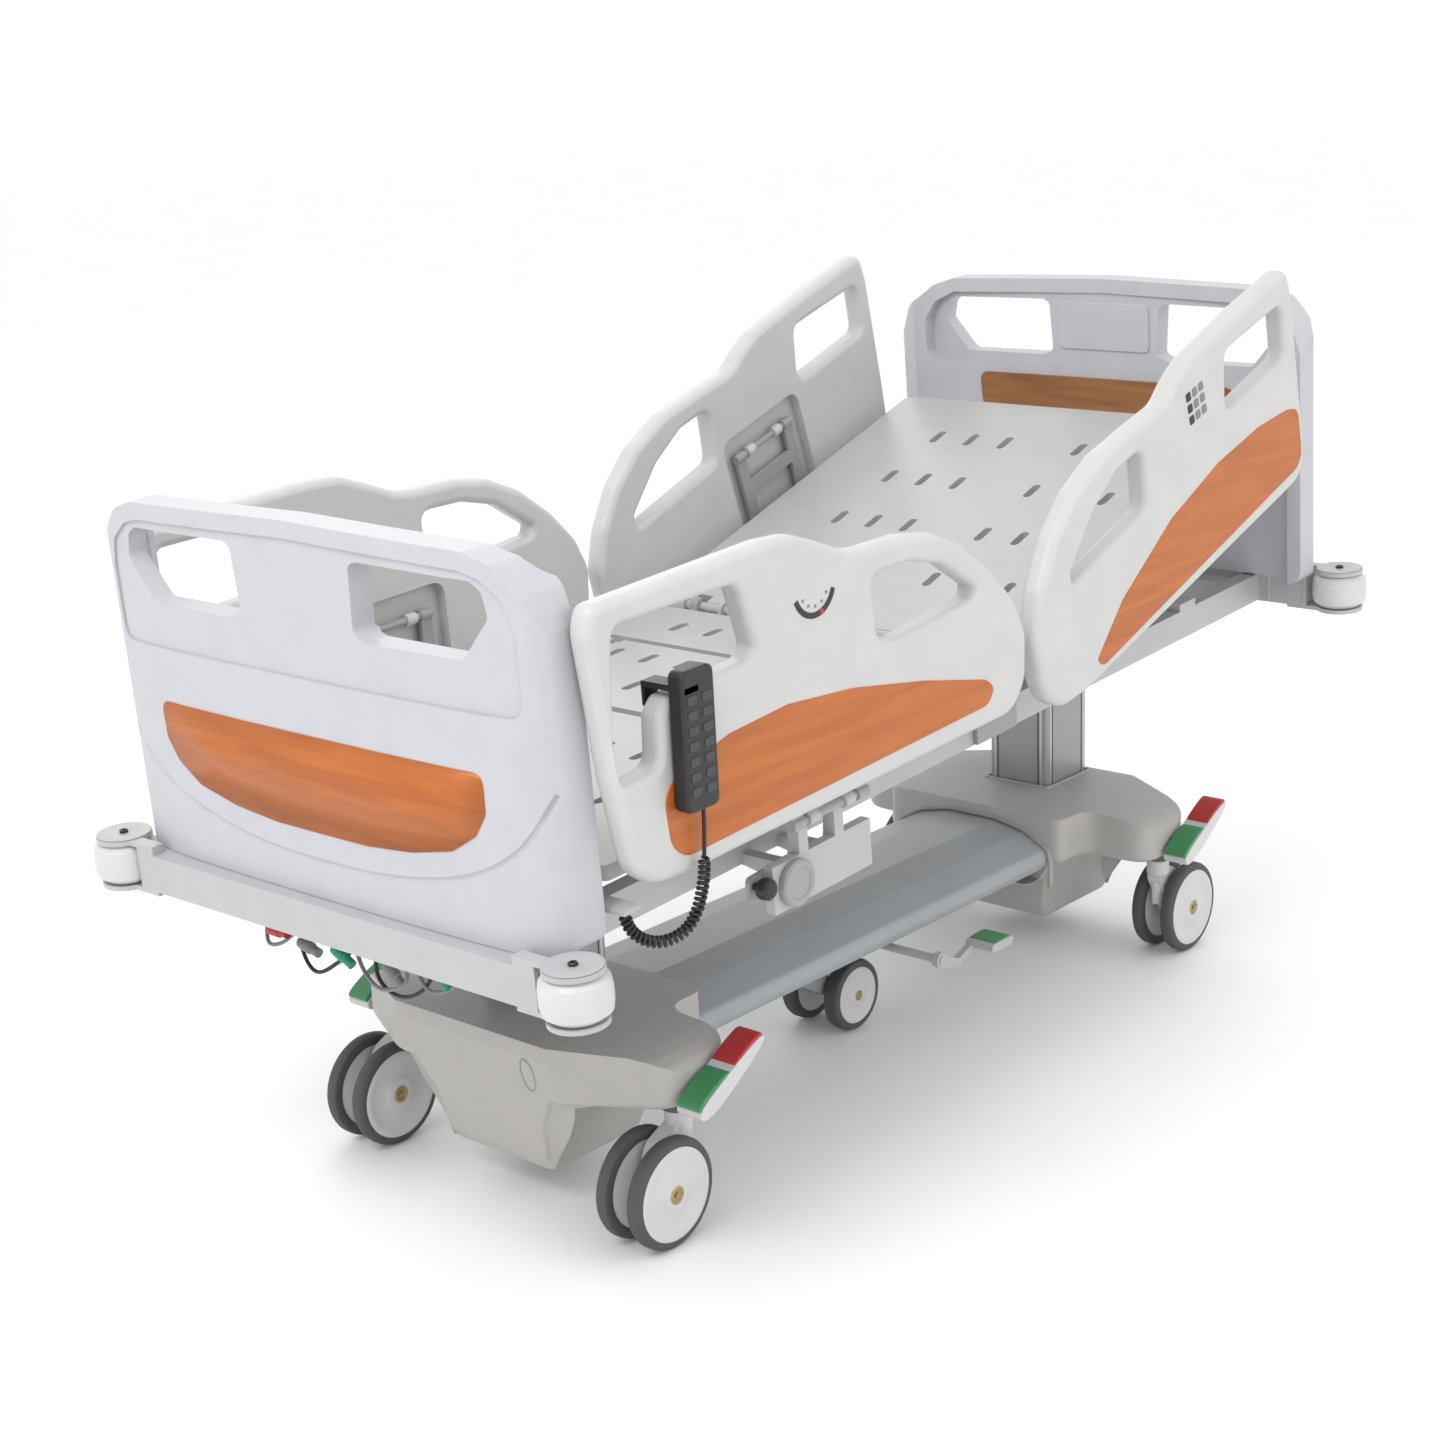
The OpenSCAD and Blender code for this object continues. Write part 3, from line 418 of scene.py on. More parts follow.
# ---- CAD nodes that stay, with their finishes ----
cad("base_frame", DARKPAINT)
cad("base_beam_cover", BEAM)
for e in ("head", "foot"):
    for part in ("lower", "middle", "top"):
        cad(f"{e}_column_{part}", COLUMN)
for n in ("steer_arm", "back_carriage"):
    cad(n, LINK)
cad("steer_pedal", PAINT, 2)
cad("bed_frame", PAINT, 2)
cad("seat_section", DECK, 2)
cad("back_section", DECK, 2)
cad("thigh_section", DECK, 2)
cad("leg_section", DECK, 2)
cad("control_box", BLACK, 4)
cad("actuator_bodies", BLACK)
cad("back_actuator_rod", STEEL)
cad("knee_actuator_rod", STEEL)
for e, i in ENDS:
    cad(f"{e}_end_beam", PAINT, 2)
    for s, j in SIDES:
        n = f"{e}_{s}"
        cad(f"arms_{n}", LINK, 1.5)
        cad(f"bumper_{n}", WHITE, 3)
        cad(f"castor_fork_{n}", WHITE, 2)

# ---- end boards ----
BOARD_FRONT = [(-428, -22), (-428, 396), (-412, 446), (-374, 484), (-330, 498), (0, 506), (330, 498),
               (374, 484), (412, 446), (428, 396), (428, -22)]
HOLE = [(112, 366), (118, 458), (132, 464), (332, 461), (350, 450), (357, 416), (308, 358), (134, 358)]
PANEL = [(-323, 214), (323, 214), (321, 160), (300, 128), (255, 100), (180, 84), (90, 76), (-90, 76),
         (-180, 84), (-255, 100), (-300, 128), (-321, 160)]
INNER_PANEL = [(-276, 320), (276, 320), (272, 262), (240, 222), (190, 202), (100, 194), (-100, 194),
               (-190, 202), (-240, 222), (-272, 262)]
PLAN_OUT = [(0, -1003), (140, -1002.6), (268, -1000), (340, -996.5), (388, -991), (410, -984), (422, -974),
            (427.4, -962), (428, -950), (428, -913)]
PLAN_IN = [(402, -913), (392, -928), (378, -940), (350, -947.5), (308, -951), (160, -955.5), (0, -957)]


def plan(grow=0.0):
    """A board seen from above, its outer face moved out by grow."""
    right = [(u - grow, y) for y, u in PLAN_OUT] + [(u, y) for y, u in PLAN_IN]
    left = [(u, -y) for u, y in reversed(right[1:-1])]
    return right + left


def face_u(y):
    """Where the outer face of a board lies, in mm, at a distance y from its middle."""
    y = abs(y)
    for (y0, u0), (y1, u1) in zip(PLAN_OUT, PLAN_OUT[1:]):
        if y <= y1:
            return u0 + (u1 - u0) * (y - y0) / max(1e-6, y1 - y0)
    return PLAN_OUT[-1][1]


UPPER = [(-398, 292), (-398, 400), (-386, 440), (-352, 466), (-318, 474), (0, 482), (318, 474),
         (352, 466), (386, 440), (398, 400), (398, 292)]
SMILE = [(-424, 196), (-404, 158), (-368, 118), (-310, 82), (-240, 58), (-150, 42), (-60, 35),
         (60, 35), (150, 42), (240, 58), (310, 82), (368, 118), (404, 158), (424, 196)]
INNER_SCOOP = [(-388, 340), (-388, 420), (-372, 452), (-330, 472), (0, 480), (330, 472), (372, 452),
               (388, 420), (388, 340)]


def end_board(end, i):
    F = BED @ (FLIP_X if i > 0 else WORLD)
    body = f"{end}board"
    ob = prism(f"{body}_shell", plan(), BOARD_LOW, BOARD_HIGH, F, BOARD)
    front = prism("tmp", fillet(BOARD_FRONT, 30, 5), -1040, -880, F @ FRONT)
    boolean(ob, front, "INTERSECT")
    soften(ob, 11, 4, 30)
    ob.modifiers.clear()
    # shallow upper field on the outer face and scoop on the inner face
    face = plan_front()
    band = [(u - 12, y) for u, y in face] + [(u + 4, y) for u, y in reversed(face)]
    field = prism("tmp", band, BOARD_LOW, BOARD_HIGH, F)
    boolean(field, prism("tmp", fillet(UPPER, 26, 5), -1040, -880, F @ FRONT), "INTERSECT")
    boolean(ob, field)
    boolean(ob, prism("tmp", fillet(INNER_SCOOP, 26, 5), -961, -930, F @ FRONT))
    groove = [F @ Vector(((face_u(y) - 1.2) * MM, y * MM, w * MM)) for y, w in SMILE]
    boolean(ob, tube_mesh("tmp", smooth_line(groove, 0.014), 0.0042, None, 8))
    soften(ob, 2.5, 2, 42)
    ob.modifiers.clear()
    for j in (-1, 1):
        pts = [(x * j, y) for x, y in HOLE][::j]
        boolean(ob, prism("tmp", fillet(pts, 15, 5), -1040, -880, F @ FRONT))
    soften(ob, 5, 3, 60)
    paint(ob, BOARD)
    place(ob, "board_shell", body, body)
    out = prism(f"{body}_panel_outer", plan(1.2), BOARD_LOW, BOARD_HIGH, F, BOARDWOOD)
    boolean(out, prism("tmp", fillet(PANEL, 18, 4), -1040, -985, F @ FRONT), "INTERSECT")
    paint(out, BOARDWOOD)
    place(out, "board_print", body, f"{body}_panel")
    inner = prism(f"{body}_panel_inner", fillet(INNER_PANEL, 18, 4), -959, -949.5, F @ FRONT, INNERWOOD)
    soften(inner, 1, 2, 40)
    place(inner, "board_print", body)
    rest = prism(f"{body}_inner_pad", fillet(rect(-98, 372, 98, 462), 12, 4), -962, -957.5, F @ FRONT, BOARD)
    soften(rest, 2, 2, 40)
    place(rest, "board_shell", body)


def plan_front():
    """The outer face of a board seen from above, from one side to the other."""
    right = [(u, y) for y, u in PLAN_OUT if y < 420]
    return [(u, -y) for u, y in reversed(right[1:])] + right


end_board("foot", -1)
end_board("head", 1)

# ---- side rails ----
FOOT_RAIL = [(-926, 428), (-600, 430), (-540, 424), (-490, 404), (-430, 376), (-390, 370),
             (-300, 366), (-230, 352), (-160, 318), (-90, 262), (-40, 206), (-14, 150), (-20, 74),
             (-58, 34), (-790, 38), (-858, 44), (-892, 72), (-916, 200), (-938, 396)]
FOOT_A = [(-892, 392), (-660, 388), (-634, 296), (-648, 284), (-806, 280), (-826, 260),
          (-830, 196), (-900, 190), (-906, 250)]
FOOT_B = [(-382, 330), (-290, 326), (-216, 304), (-140, 250), (-146, 236), (-330, 226), (-374, 240)]
FOOT_INSERT = [(-832, 152), (-812, 176), (-700, 200), (-580, 204), (-440, 186), (-280, 150),
               (-128, 108), (-108, 90), (-126, 68), (-800, 64), (-826, 86)]
HEAD_RAIL = [(-92, 20), (-88, 96), (-50, 160), (10, 218), (80, 256), (170, 276), (280, 274),
             (360, 270), (400, 290), (450, 306), (620, 314), (786, 314), (790, 260), (770, 60),
             (756, -58), (20, -58), (-50, -48), (-84, -16)]
HEAD_A = [(278, 232), (262, 136), (34, 126), (34, 146), (120, 204), (200, 232)]
HEAD_B = [(556, 266), (752, 262), (742, 174), (532, 170)]
HEAD_INSERT = [(752, 70), (744, -30), (66, -40), (52, -22), (150, 34), (320, 86), (480, 104),
               (620, 100), (716, 84)]


def side_rail(end, s, j):
    foot = end == "foot"
    B = BED if foot else BACK
    if j > 0:
        B = B @ FLIP_Y
    n = f"{end}_{s}"
    outline, a, b, ins = (FOOT_RAIL, FOOT_A, FOOT_B, FOOT_INSERT) if foot else \
        (HEAD_RAIL, HEAD_A, HEAD_B, HEAD_INSERT)
    c, v = (-470, 165) if foot else (400, 110)
    edge = fillet(outline, 60, 6)
    holes = [fillet(a, 20, 5), fillet(b, 20, 5)]
    ob = pillow(f"rail_shell_{n}", edge, RAIL_IN, RAIL_OUT, 15, B @ SIDE, RAIL)
    field = prism("tmp", grow_outline(edge, -27), RAIL_OUT - 2.6, RAIL_OUT + 10, B @ SIDE)
    for hole in holes:
        boolean(field, prism("tmp", grow_outline(hole, 19), RAIL_OUT - 10, RAIL_OUT + 20, B @ SIDE))
    boolean(ob, field)
    soften(ob, 2.2, 3, 50)
    ob.modifiers.clear()
    for hole in holes:
        boolean(ob, pillow("tmp", hole, RAIL_IN, RAIL_OUT, 13, B @ SIDE, flare=True))
    pocket = fillet(rect(c - 115, v - 252, c + 115, v + 48), 28, 5)
    boolean(ob, prism("tmp", pocket, RAIL_IN - 30, RAIL_OUT - 20, B @ SIDE))
    soften(ob, 1.5, 2, 55, 40)
    paint(ob, RAIL)
    place(ob, "rail_shell", f"rail_{n}", f"rail_{n}")
    for k in (-1, 1):
        h = lathe(f"rail_knuckle_{n}_{'ab'[k > 0]}", [(0, -10), (10, -10), (10, 10), (0, 10)],
                  spot(B, c + 40 * k, -RAIL_MID, v, 90, "Y"), RAIL)
        place(h, "rail_shell", f"rail_{n}")
    p = prism(f"rail_insert_{n}", fillet(ins, 40, 6), RAIL_OUT - 6, RAIL_OUT + 1.4, B @ SIDE, RAILWOOD)
    soften(p, 1.6, 3, 40)
    place(p, "rail_print", f"rail_{n}", f"insert_{n}")


for e, i in ENDS:
    for s, j in SIDES:
        side_rail(e, s, j)

# ---- castor wheels ----
TREAD = [(66, 3), (74, 2), (80, 4), (82.3, 9), (82.3, 18), (80.5, 22), (76, 25), (70, 25.5),
         (66, 24), (66, 3)]
DISC = [(0, 4), (66.5, 4), (70, 6), (71, 23), (69, 25.5), (66, 26.2), (60, 26.4), (56, 24.6), (30, 23.4),
        (26, 25.6), (22, 26.6), (12, 26.8), (12, 25), (0, 25)]
HUB = [(0, 20), (14, 20), (14, 26.8), (12, 28), (9, 28), (8, 26.6), (4.4, 26.6), (4.2, 29), (0, 29.4)]


def wheel(names, profiles, M, body, *nodes):
    """A wheel of tread, disc and hub; the tread stands for the nodes."""
    tread, disc, hub = profiles
    place(lathe(names[0], tread, M, TYRE, 72), "castor_wheel", body, *nodes)
    place(lathe(names[1], disc, M, WHITE, 72), "castor_body", body)
    place(lathe(names[2], hub, M, BRASS, 32), "steel", body)


for e, i in ENDS:
    for s, j in SIDES:
        n = f"{e}_{s}"
        for k in (-1, 1):
            ab = "ab"[k > 0]
            nodes = [f"castor_wheels_{n}"] if k < 0 else []
            wheel([f"tread_{n}_{ab}", f"disc_{n}_{ab}", f"hub_{n}_{ab}"], (TREAD, DISC, HUB),
                  spot(WORLD, i * 711, j * STEM_Y + k * 16, 82.5, -k * 90), f"castor_wheels_{n}", *nodes)

# ---- base covers ----
PROF = [(-322, 190), (-322, 236), (-318, 252), (-308, 264), (-290, 273), (-262, 279), (-150, 286)]
COLLAR = [(-172, 150), (-172, 210), (-164, 229), (-114, 258), (-50, 270)]
COLLAR_IN = [(-166, 140), (-166, 206), (-158, 224), (-110, 252), (-50, 264)]
BEAM_GAP = [(-168, 150), (-168, 208), (-160, 226), (-112, 254), (-50, 266)]
# height, then across: face edge, setback of the arch edge, arch edge
ARCH = ((66, 98, 8, 103), (90, 103, 12, 120), (115, 106, 15, 138), (140, 110, 17, 154),
        (165, 122, 19, 166), (186, 134, 18, 174), (204, 142, 46, 240))


def both_ways(pts):
    """An outline given on one side of the middle, with its mirror image."""
    return pts + [(-y, z) for y, z in reversed(pts)]


def wheel_arch(name, lean, j, F):
    """The skin beside the front face: it runs down to the toe and clears the castor."""
    bm = bmesh.new()
    rings = []
    for z, fy, back, oy in ARCH:
        x = lean(z)
        ring = ((x - 3, fy), (x - 9, fy + 10), (x - back, oy), (x - 66, fy - 20))
        rings.append([bm.verts.new((u * MM, j * y * MM, z * MM)) for u, y in ring])
    bm.faces.new(rings[0])
    bm.faces.new(rings[-1][::-1])
    for a, b in zip(rings, rings[1:]):
        for k in range(4):
            bm.faces.new((a[k], a[(k + 1) % 4], b[(k + 1) % 4]))
            bm.faces.new((a[k], b[(k + 1) % 4], b[k]))
    place(to_object(name, bm, F, COVER, 60), "grey_cover", "base")


def base_cover(end, i):
    F = WORLD if i > 0 else FLIP_X
    column, inner, toe, half, top = (700, 554, 770, 104, 150) if i > 0 else (620, 530, 728, 104, 150)

    def lean(z):
        """Where the leaning front face lies at height z."""
        return toe + 12 + (773 - toe) * max(0, z - 82) / 180

    plan_pts = [(482, -190), (566, -190), (566, -318), (700, -318), (785, -156),
                (785, 156), (700, 318), (566, 318), (566, 190), (482, 190)]
    radii = [24, 60, 50, 60, 22, 22, 60, 50, 60, 24]
    ob = pillow(f"cover_{end}", fillet(plan_pts, radii, 8), 198, 300, 16, F, COVER)
    boolean(ob, prism("tmp", both_ways(PROF), 470, 800, F @ FRONT), "INTERSECT")
    soften(ob, 12, 4, 40)
    ob.modifiers.clear()
    # the front face leans in one plane from the top edge down to the toe
    wedge = [(784.5, 262), (toe + 12, 82), (toe, 40), (860, 40), (860, 262)]
    boolean(ob, prism("tmp", wedge, -400, 400, F @ SIDE))
    box = prism("tmp", [(482, 244), (482, 142), (inner, 142), (inner, 84), (inner + 14, 56), (toe, 56),
                        (toe + 12, 82), (779, 244)], -200, 200, F @ SIDE)
    ends = both_ways([(-top, 244), (-top, 200), (-half - 12, 142), (-half, 56)])
    boolean(box, prism("tmp", ends, 470, 800, F @ FRONT), "INTERSECT")
    soften(box, 11, 4, 30)
    box.modifiers.clear()
    for j in (-1, 1):
        boolean(box, prism("tmp", circle(STEM_X, j * STEM_Y, WHEEL_SWEEP, 72), 20, 187, F))
    boolean(ob, box, "UNION")
    for s, j in SIDES:
        wheel_arch(f"cover_arch_{end}_{s}", lean, j, F)
    opening = rect(column - COLUMN_X - 2.5, -COLUMN_Y - 2.5, column + COLUMN_X + 2.5, COLUMN_Y + 2.5)
    boolean(ob, prism("tmp", opening, 30, 300, F))
    boolean(ob, prism("tmp", fillet(both_ways(BEAM_GAP), 14, 3), 470, 520, F @ FRONT))
    for j in (-1, 1):
        boolean(ob, prism("tmp", circle(STEM_X, j * STEM_Y, 26, 40), 180, 240, F))
        boolean(ob, prism("tmp", rect(STEM_X - 10, j * 318 - 18, STEM_X + 10, j * 318 + 18), 190, 232, F))
    soften(ob, 1.5, 2, 60)
    paint(ob, COVER)
    place(ob, "grey_cover", "base", f"base_cover_{end}")
    collar = rect(column - COLUMN_X - 8, -COLUMN_Y - 8, column + COLUMN_X + 8, COLUMN_Y + 8)
    rim = prism(f"cover_rim_{end}", fillet(collar, 8, 4), 282, 289, F, COVER)
    boolean(rim, prism("tmp", opening, 270, 300, F))
    soften(rim, 2, 2, 40)
    paint(rim, COVER)
    place(rim, "grey_cover", "base")
    oval = []
    for k in range(41):
        a = 2 * pi * k / 40
        z = 232 + 27 * sin(a)
        oval.append(F @ Vector((lean(z) * MM, (-112 + 13 * cos(a)) * MM, z * MM)))
    place(tube_mesh(f"cover_hatch_{end}", oval, 0.0011, LINK, 6), "grey_cover", "base")
    lip = prism(f"cover_lip_{end}", fillet(both_ways(COLLAR), 14, 3), 478, 486, F @ FRONT, COVER)
    boolean(lip, prism("tmp", fillet(both_ways(COLLAR_IN), 14, 3), 470, 500, F @ FRONT))
    paint(lip, COVER)
    place(lip, "grey_cover", "base")


base_cover("head", 1)
base_cover("foot", -1)

# ---- columns: painted highlights near the corners and painted shade in the grooves ----
for end, cx, z0, z1 in (("head", 700, 271, 571), ("foot", -620, 241, 491)):
    for k, (a, b) in enumerate(((-1, -1), (1, -1), (1, 1), (-1, 1))):
        # light strips are painted highlights near the corners; the near-black strips are painted shade
        # standing in for the grooves
        for w, mat, tag, near in ((5, PAINTED_HIGHLIGHT_STRIP, "strip", 13), (2.4, GROOVE_PAINTED_SHADE, "groove", 19)):
            x, y = cx + a * (COLUMN_X - near), b * (COLUMN_Y + 0.1)
            on_y = rect(x - w / 2, y - 0.5, x + w / 2, y + 0.5)
            x, y = cx + a * (COLUMN_X + 0.1), b * (COLUMN_Y - near)
            on_x = rect(x - 0.5, y - w / 2, x + 0.5, y + w / 2)
            for face, pts in (("a", on_y), ("b", on_x)):
                p = prism(f"{end}_column_{tag}_{k}{face}", pts, z0, z1, WORLD, mat)
                soften(p, 0.3, 2, 40)
                place(p, "column", f"{end}_column_top")

# ---- pedal pads ----
PEDAL = [(-46, -6), (-44, 12), (20, 16), (112, 16), (116, 2), (60, -8), (0, -14), (-30, -12)]
GREEN_PAD = [(-44, 6), (-42, 17), (-10, 21), (32, 20), (36, 10), (10, 4)]
RED_PAD = [(46, 8), (44, 19), (80, 21), (112, 19), (115, 10), (80, 6)]
STEER_PAD = [(90, -6), (92, 9), (118, 11), (146, 10), (148, -4), (118, -7)]


def pedal_piece(name, pts, lo, hi, M, mat, width, seg, body, *nodes):
    p = prism(name, chaikin(pts, 2), lo, hi, M, mat)
    soften(p, width, seg, 40)
    place(p, "pedal", body, *nodes)


for e, i in ENDS:
    for s, j in SIDES:
        body = f"brake_pedal_{e}_{s}"
        P = Matrix.Translation((i * STEM_X * MM, 0, 0.222)) @ (FLIP_Y if j > 0 else WORLD) \
            @ Matrix.Rotation(radians(-26), 4, "Y") @ SIDE
        pedal_piece(f"pedal_under_{e}_{s}", PEDAL, 323, 369, P, WHITE, 3, 3, body, body)
        pedal_piece(f"pedal_green_{e}_{s}", GREEN_PAD, 324.5, 367.5, P, GREEN, 2, 2, body)
        pedal_piece(f"pedal_red_{e}_{s}", RED_PAD, 324.5, 367.5, P, RED, 2, 2, body)
        shaft = lathe(f"pedal_shaft_{e}_{s}", [(0, 0), (7, 0), (7, 26), (0, 26)],
                      spot(WORLD, i * STEM_X, j * 299, 222, -j * 90), STEEL)
        place(shaft, "steel", body)
S = spot(WORLD, 57, 0, 167) @ SIDE
pedal_piece("steer_pedal_pad", STEER_PAD, 223, 275, S, GREEN, 2, 2, "steer_pedal")

# ---- steering wheels ----
STEER_TREAD = [(48, 2), (57, 1.5), (61, 4), (62.4, 9), (62.4, 22), (60, 28), (55, 30.5), (50, 30.5),
               (48, 28), (48, 2)]
STEER_DISC = [(0, 3), (48.5, 3), (51, 6), (51, 28), (48, 31), (44, 31), (40, 29), (24, 28), (20, 31),
              (12, 32), (0, 32)]
STEER_HUB = [(0, 28), (9, 28), (9, 32.6), (0, 33)]
for k in (-1, 1):
    ab = "ab"[k > 0]
    nodes = ["steer_wheels"] if k < 0 else []
    wheel([f"steer_tread_{ab}", f"steer_disc_{ab}", f"steer_hub_{ab}"], (STEER_TREAD, STEER_DISC, STEER_HUB),
          spot(WORLD, 55, k * 30, 64.5, -k * 90), "steer_wheels", *nodes)

# ---- bumper plates and rail latches ----
CAP = [(0, -10), (36, -10), (39, -9), (40, -7.5), (36, -6.4), (20, -6.8), (12, -8.2), (0, -8.2)]
BOLT = [(0, -9), (7, -9), (7, -5), (5.8, -4), (3.4, -4), (3.2, -6), (0, -6)]
LATCH_DISC = [(0, 0), (30, 0), (34, 2), (34, 9), (31, 12), (24, 12), (22, 10), (0, 10)]
KNOB = [(0, 0), (6, 0), (6, 16), (14, 19), (16, 24), (15, 34), (11, 38), (0, 39)]
HEAD_KNOB = [(0, 0), (6, 0), (6, 10), (13, 13), (15, 18), (14, 26), (10, 30), (0, 31)]
LEVER = [(-612, -80), (-612, -48), (-560, -46), (-560, -90)]
for e, i in ENDS:
    for s, j in SIDES:
        C = spot(BED, i * 1006, j * 457, 0)
        place(lathe(f"bumper_cap_{e}_{s}", CAP, C, PAINT), "painted_frame", "bed_frame")
        place(lathe(f"bumper_bolt_{e}_{s}", BOLT, C, BLACK, 6), "painted_frame", "bed_frame")

for s, j in SIDES:
    F = BED @ (FLIP_Y if j > 0 else WORLD)
    B = BACK @ (FLIP_Y if j > 0 else WORLD)
    disc = lathe(f"rail_latch_disc_{s}", LATCH_DISC, spot(F, -535, -421, -75, 90), LINK, 48)
    knob = lathe(f"rail_latch_knob_{s}", KNOB, spot(F, -600, -398, -62, 90), BLACK, 32)
    lever = prism(f"rail_latch_lever_{s}", fillet(LEVER, 10, 4), 398, 405, F @ SIDE, LINK)
    place(disc, "linkage", "bed_frame")
    place(knob, "black_plastic", "bed_frame")
    place(lever, "linkage", "bed_frame")
    knob = lathe(f"head_latch_knob_{s}", HEAD_KNOB, spot(B, 262, -411, -62, 90), BLACK, 32)
    place(knob, "black_plastic", "back_section")

# ---- angle scale on the foot rails, key field on the head rails ----
DIAL_U, DIAL_W = -510, 350
DIAL_FIELD = [(-572, 372), (-560, 392), (-462, 382), (-450, 366), (-470, 312), (-510, 290), (-552, 312)]


def on_dial(r, degrees):
    a = radians(degrees)
    return DIAL_U + r * cos(a), DIAL_W + r * sin(a)


for s, j in SIDES:
    F = BED @ (FLIP_Y if j > 0 else WORLD)
    B = BACK @ (FLIP_Y if j > 0 else WORLD)
    plate = prism(f"angle_field_{s}", fillet(DIAL_FIELD, 14, 4), RAIL_OUT - 4, RAIL_OUT - 1.6, F @ SIDE, RAIL)
    soften(plate, 0.8, 2, 40)
    place(plate, "rail_shell", f"rail_foot_{s}")
    arc = [on_dial(46, a) for a in range(200, 341, 7)] + [on_dial(38, a) for a in range(340, 199, -7)]
    scale = prism(f"angle_scale_{s}", arc, RAIL_OUT - 0.5, RAIL_OUT + 1, F @ SIDE, BLACK)
    place(scale, "black_plastic", f"rail_foot_{s}")
    ball = lathe(f"angle_ball_{s}", [(0, 0), (3.5, 0), (4.5, 1), (3.6, 2), (0, 2.4)],
                 spot(F, -498, -RAIL_OUT, 309.5, 90), RED, 24)
    place(ball, "black_plastic", f"rail_foot_{s}")
    for t in range(5):
        x, y = on_dial(30, 214 + 28 * t)
        tick = prism(f"angle_tick_{s}_{t}", rect(x - 2, y - 2, x + 2, y + 2), RAIL_OUT - 0.5, RAIL_OUT + 0.6,
                     F @ SIDE, KEY)
        place(tick, "black_plastic", f"rail_foot_{s}")
    for r in range(3):
        for k in range(3):
            x, y = 424 + 20 * k, 210 + 20 * r
            key = prism(f"rail_key_{s}_{r}{k}", fillet(rect(x - 7, y - 7, x + 7, y + 7), 3, 3),
                        RAIL_OUT - 0.8, RAIL_OUT + 1.2, B @ SIDE, KEY if k else BLACK)
            soften(key, 0.6, 2, 40)
            place(key, "black_plastic", f"rail_head_{s}")

# ---- leads and plugs of the drives, under the foot end ----
LEADS = [
    [(-930, -40, -104), (-946, -66, -146), (-952, -20, -168), (-940, 30, -156), (-930, 60, -108)],
    [(-930, 20, -104), (-950, 70, -148), (-958, 112, -170), (-948, 150, -150), (-930, 170, -104)],
    [(-930, 150, -104), (-950, 182, -140), (-956, 214, -150), (-940, 236, -132), (-930, 236, -102)],
    [(-930, -120, -104), (-940, -96, -152), (-946, -50, -174), (-940, 0, -160), (-930, 10, -106)],
    [(-930, -170, -104), (-940, -150, -140), (-944, -110, -152), (-936, -80, -134), (-930, -70, -104)],
]
PLUG = [(0, -22), (4, -22), (5, -20), (8, -18), (9, -12), (9, 6), (7, 8), (7, 22), (0, 22)]
PLUGS = ((-952, 196, -128, RED), (-952, 130, -138, KEY), (-950, 60, -136, GREENISH),
         (-946, -40, -142, KEY), (-940, -132, -126, GREENISH))


def bed_point(u, y, w):
    return BED @ Vector((u * MM, y * MM, w * MM))


for k, pts in enumerate(LEADS):
    path = smooth_line([bed_point(*p) for p in pts], 0.008)
    c = tube_mesh(f"drive_lead_{k}", path, 0.003, BLACK if k % 2 else KEY, 8)
    place(c, "cord_rubber", "bed_frame")
for k, (u, y, w, mat) in enumerate(PLUGS):
    plug = lathe(f"drive_plug_{k}", PLUG, spot(BED, u, y, w, 90 + 14 * k), mat, 24)
    place(plug, "black_plastic", "bed_frame")
tray = prism("lead_tray", fillet(rect(-962, -190, -915, 250), 12, 3), -108, -100, BED, LINK)
soften(tray, 1, 2, 40)
place(tray, "linkage", "bed_frame")

# ---- handset and its cord ----
H = spot(BED, -783, 0, 222, 2, "Y") @ SIDE
shell = prism("handset_shell", fillet(rect(-31, -93, 31, 93), 12, 5), RAIL_OUT + 1.5, 497, H, BLACK)
soften(shell, 5, 3, 30)
place(shell, "black_plastic", "rail_foot_left", "handset")
for r in range(7):
    for k in (-1, 1):
        x, y = k * 14, 54 - r * 20
        key = prism(f"handset_key_{r}_{'ab'[k > 0]}", fillet(rect(x - 9, y - 6, x + 9, y + 6), 4, 3),
                    496, 498.2, H, DARKKEY)
        soften(key, 0.7, 2, 30)
        place(key, "black_plastic", "rail_foot_left")
HOOK = [(-497, 284), (-497, 296), (-423.5, 296), (-423.5, 262), (-428, 262), (-428, 288), (-471, 288),
        (-471, 284)]
hook = prism("handset_hook", fillet(HOOK, 2, 2), -807, -781, BED @ FRONT, BLACK)
place(hook, "black_plastic", "rail_foot_left")

# the wire is a helix about its route, tapering to the route at both ends
LEAD = [(-777, -485, 131), (-778, -485, 110), (-780, -485, 90), (-783, -485, 64)]
COIL = [(-783, -485, 64), (-785, -484, 40), (-790, -482, 16), (-799, -479, -8),
        (-814, -474, -27), (-834, -466, -36), (-854, -456, -36), (-872, -446, -26),
        (-883, -439, -10), (-888, -437, 8), (-888, -437, 14.5)]
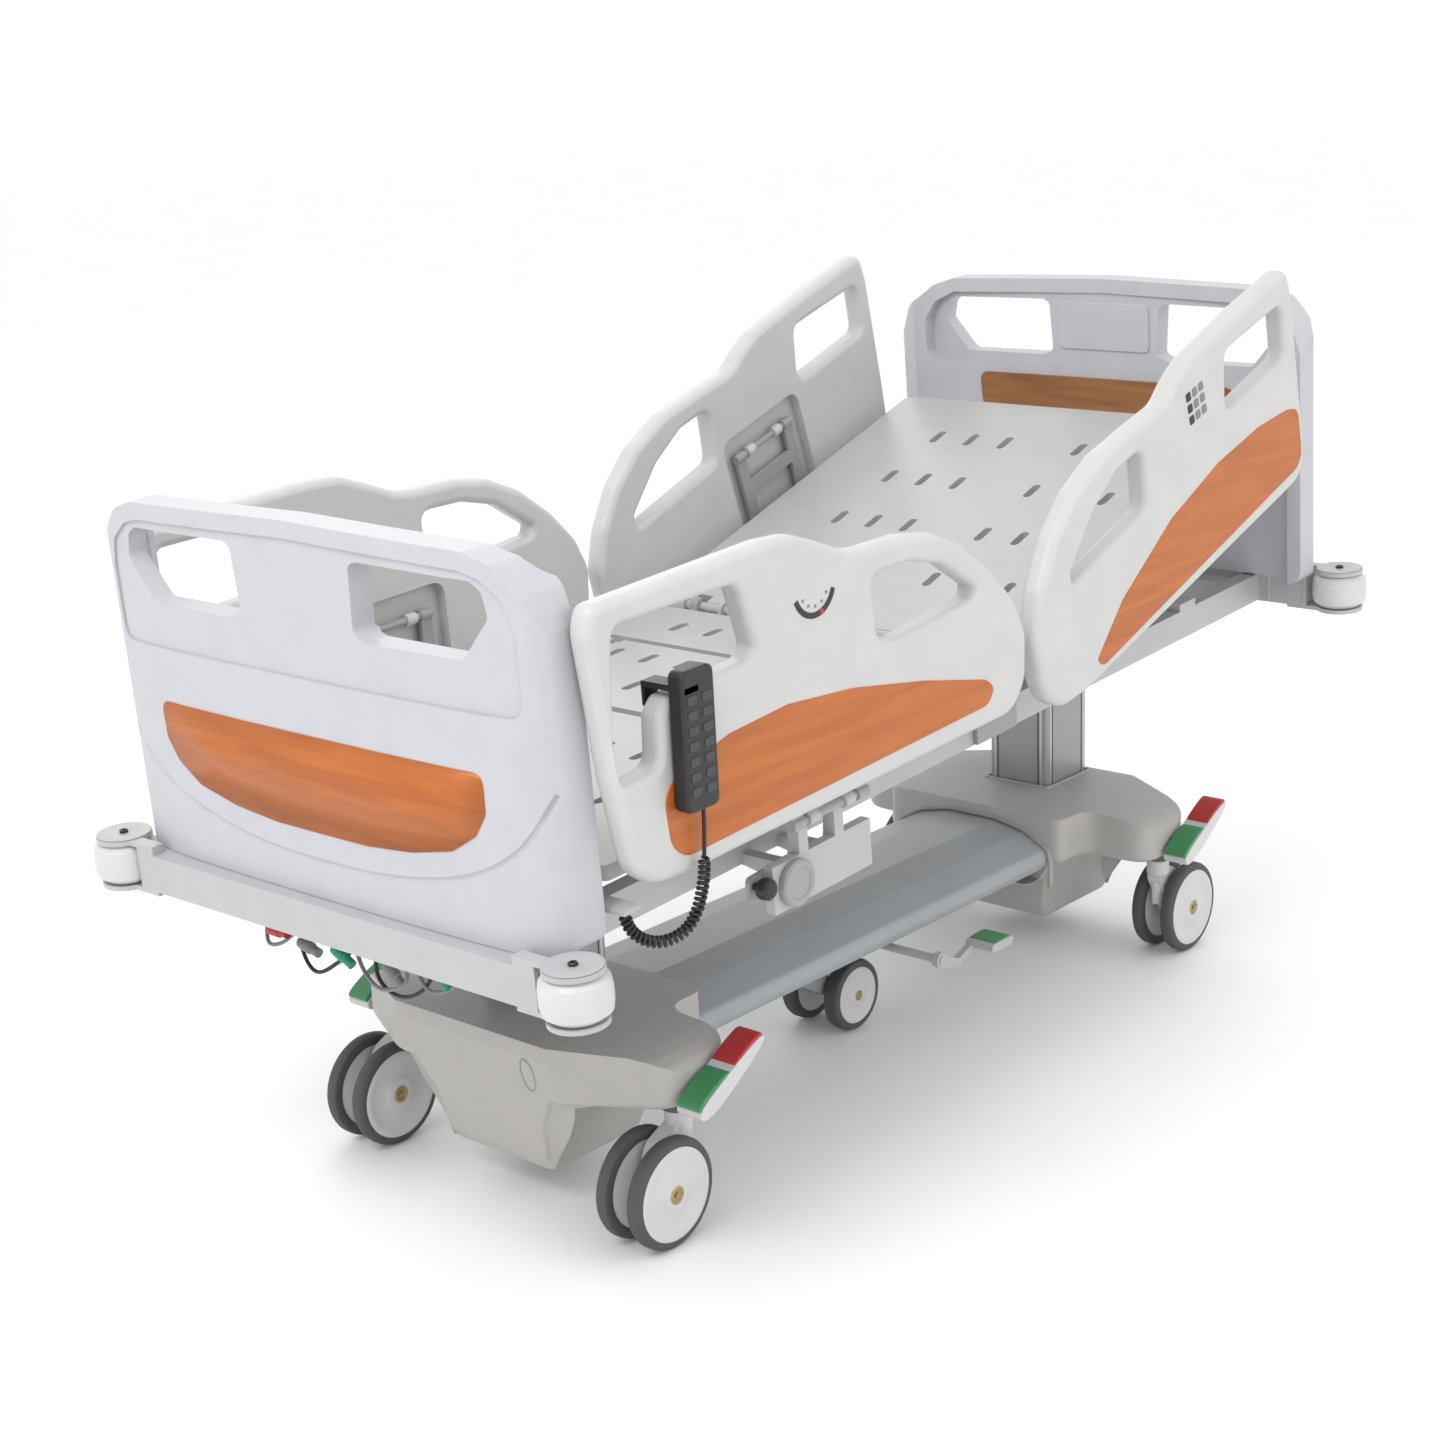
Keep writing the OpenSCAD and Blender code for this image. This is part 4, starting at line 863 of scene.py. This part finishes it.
# wire diameter, helix radius and pitch in metres, points per turn
WIRE, COIL_R, PITCH, PER = 0.0055, 0.0060, 0.0072, 14
route = smooth_line([bed_point(*p) for p in COIL], PITCH / PER)
side = None
coil = []
for i, p in enumerate(route):
    t = (route[min(i + 1, len(route) - 1)] - route[max(i - 1, 0)]).normalized()
    side = t.orthogonal().normalized() if side is None else (side - t * side.dot(t)).normalized()
    grow = min(1, i / PER, (len(route) - 1 - i) / PER)
    a = 2 * pi * i / PER
    coil.append(p + COIL_R * grow * (side * cos(a) + t.cross(side) * sin(a)))
lead = smooth_line([bed_point(*p) for p in LEAD], 0.006)
cord_path = lead[:-1] + coil
cord = tube_mesh("handset_cord", cord_path, WIRE / 2, CORD, 8)
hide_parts("handset_cord_lead", "handset_cord_coil")
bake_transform(cord)

# ---- studio ----
bm = bmesh.new()
bmesh.ops.create_grid(bm, x_segments=1, y_segments=1, size=40)
FLOOR = material("studio_floor", (0.94, 0.94, 0.94), 0.6, tint=0.01, scale=2)
floor = to_object("studio_floor", bm, WORLD, FLOOR)
world = bpy.context.scene.world or bpy.data.worlds.new("World")
bpy.context.scene.world = world
world.use_nodes = True
world.node_tree.nodes["Background"].inputs["Color"].default_value = (1, 1, 1, 1)
world.node_tree.nodes["Background"].inputs["Strength"].default_value = 1.06


def area(name, at, look, size, power):
    d = bpy.data.lights.new(name, "AREA")
    d.size = size
    d.energy = power
    o = bpy.data.objects.new(name, d)
    o.location = at
    o.rotation_euler = (Vector(look) - Vector(at)).to_track_quat("-Z", "Y").to_euler()
    bpy.context.scene.collection.objects.link(o)


area("key", (-3.6, -0.4, 4.6), (0, 0, 0.6), 2.4, 110)
area("fill", (1.5, -5.0, 2.6), (0, 0, 0.6), 3.0, 35)
area("back", (3.0, 4.0, 3.5), (0, 0, 0.8), 3.0, 30)

# camera: heading from +Y towards +X, then up or down, then about its own axis
EYE = (-2.973, -2.428, 1.635)
YAW, NOD, ROLL = radians(48.8), radians(-15.7), radians(-2.2)
fwd = Vector((sin(YAW) * cos(NOD), cos(YAW) * cos(NOD), sin(NOD)))
right = Vector((cos(YAW), -sin(YAW), 0))
up = right.cross(fwd)
r2 = right * cos(ROLL) + up * sin(ROLL)
u2 = -right * sin(ROLL) + up * cos(ROLL)
cam = bpy.data.cameras.new("camera")
cam.lens = 60.2
cam.sensor_width = 36
cam.clip_end = 100
eye = bpy.data.objects.new("camera", cam)
eye.matrix_world = Matrix((
    (r2.x, u2.x, -fwd.x, EYE[0]),
    (r2.y, u2.y, -fwd.y, EYE[1]),
    (r2.z, u2.z, -fwd.z, EYE[2]),
    (0, 0, 0, 1)))
bpy.context.scene.collection.objects.link(eye)
bpy.context.scene.camera = eye
bpy.context.scene.view_settings.view_transform = "Standard"
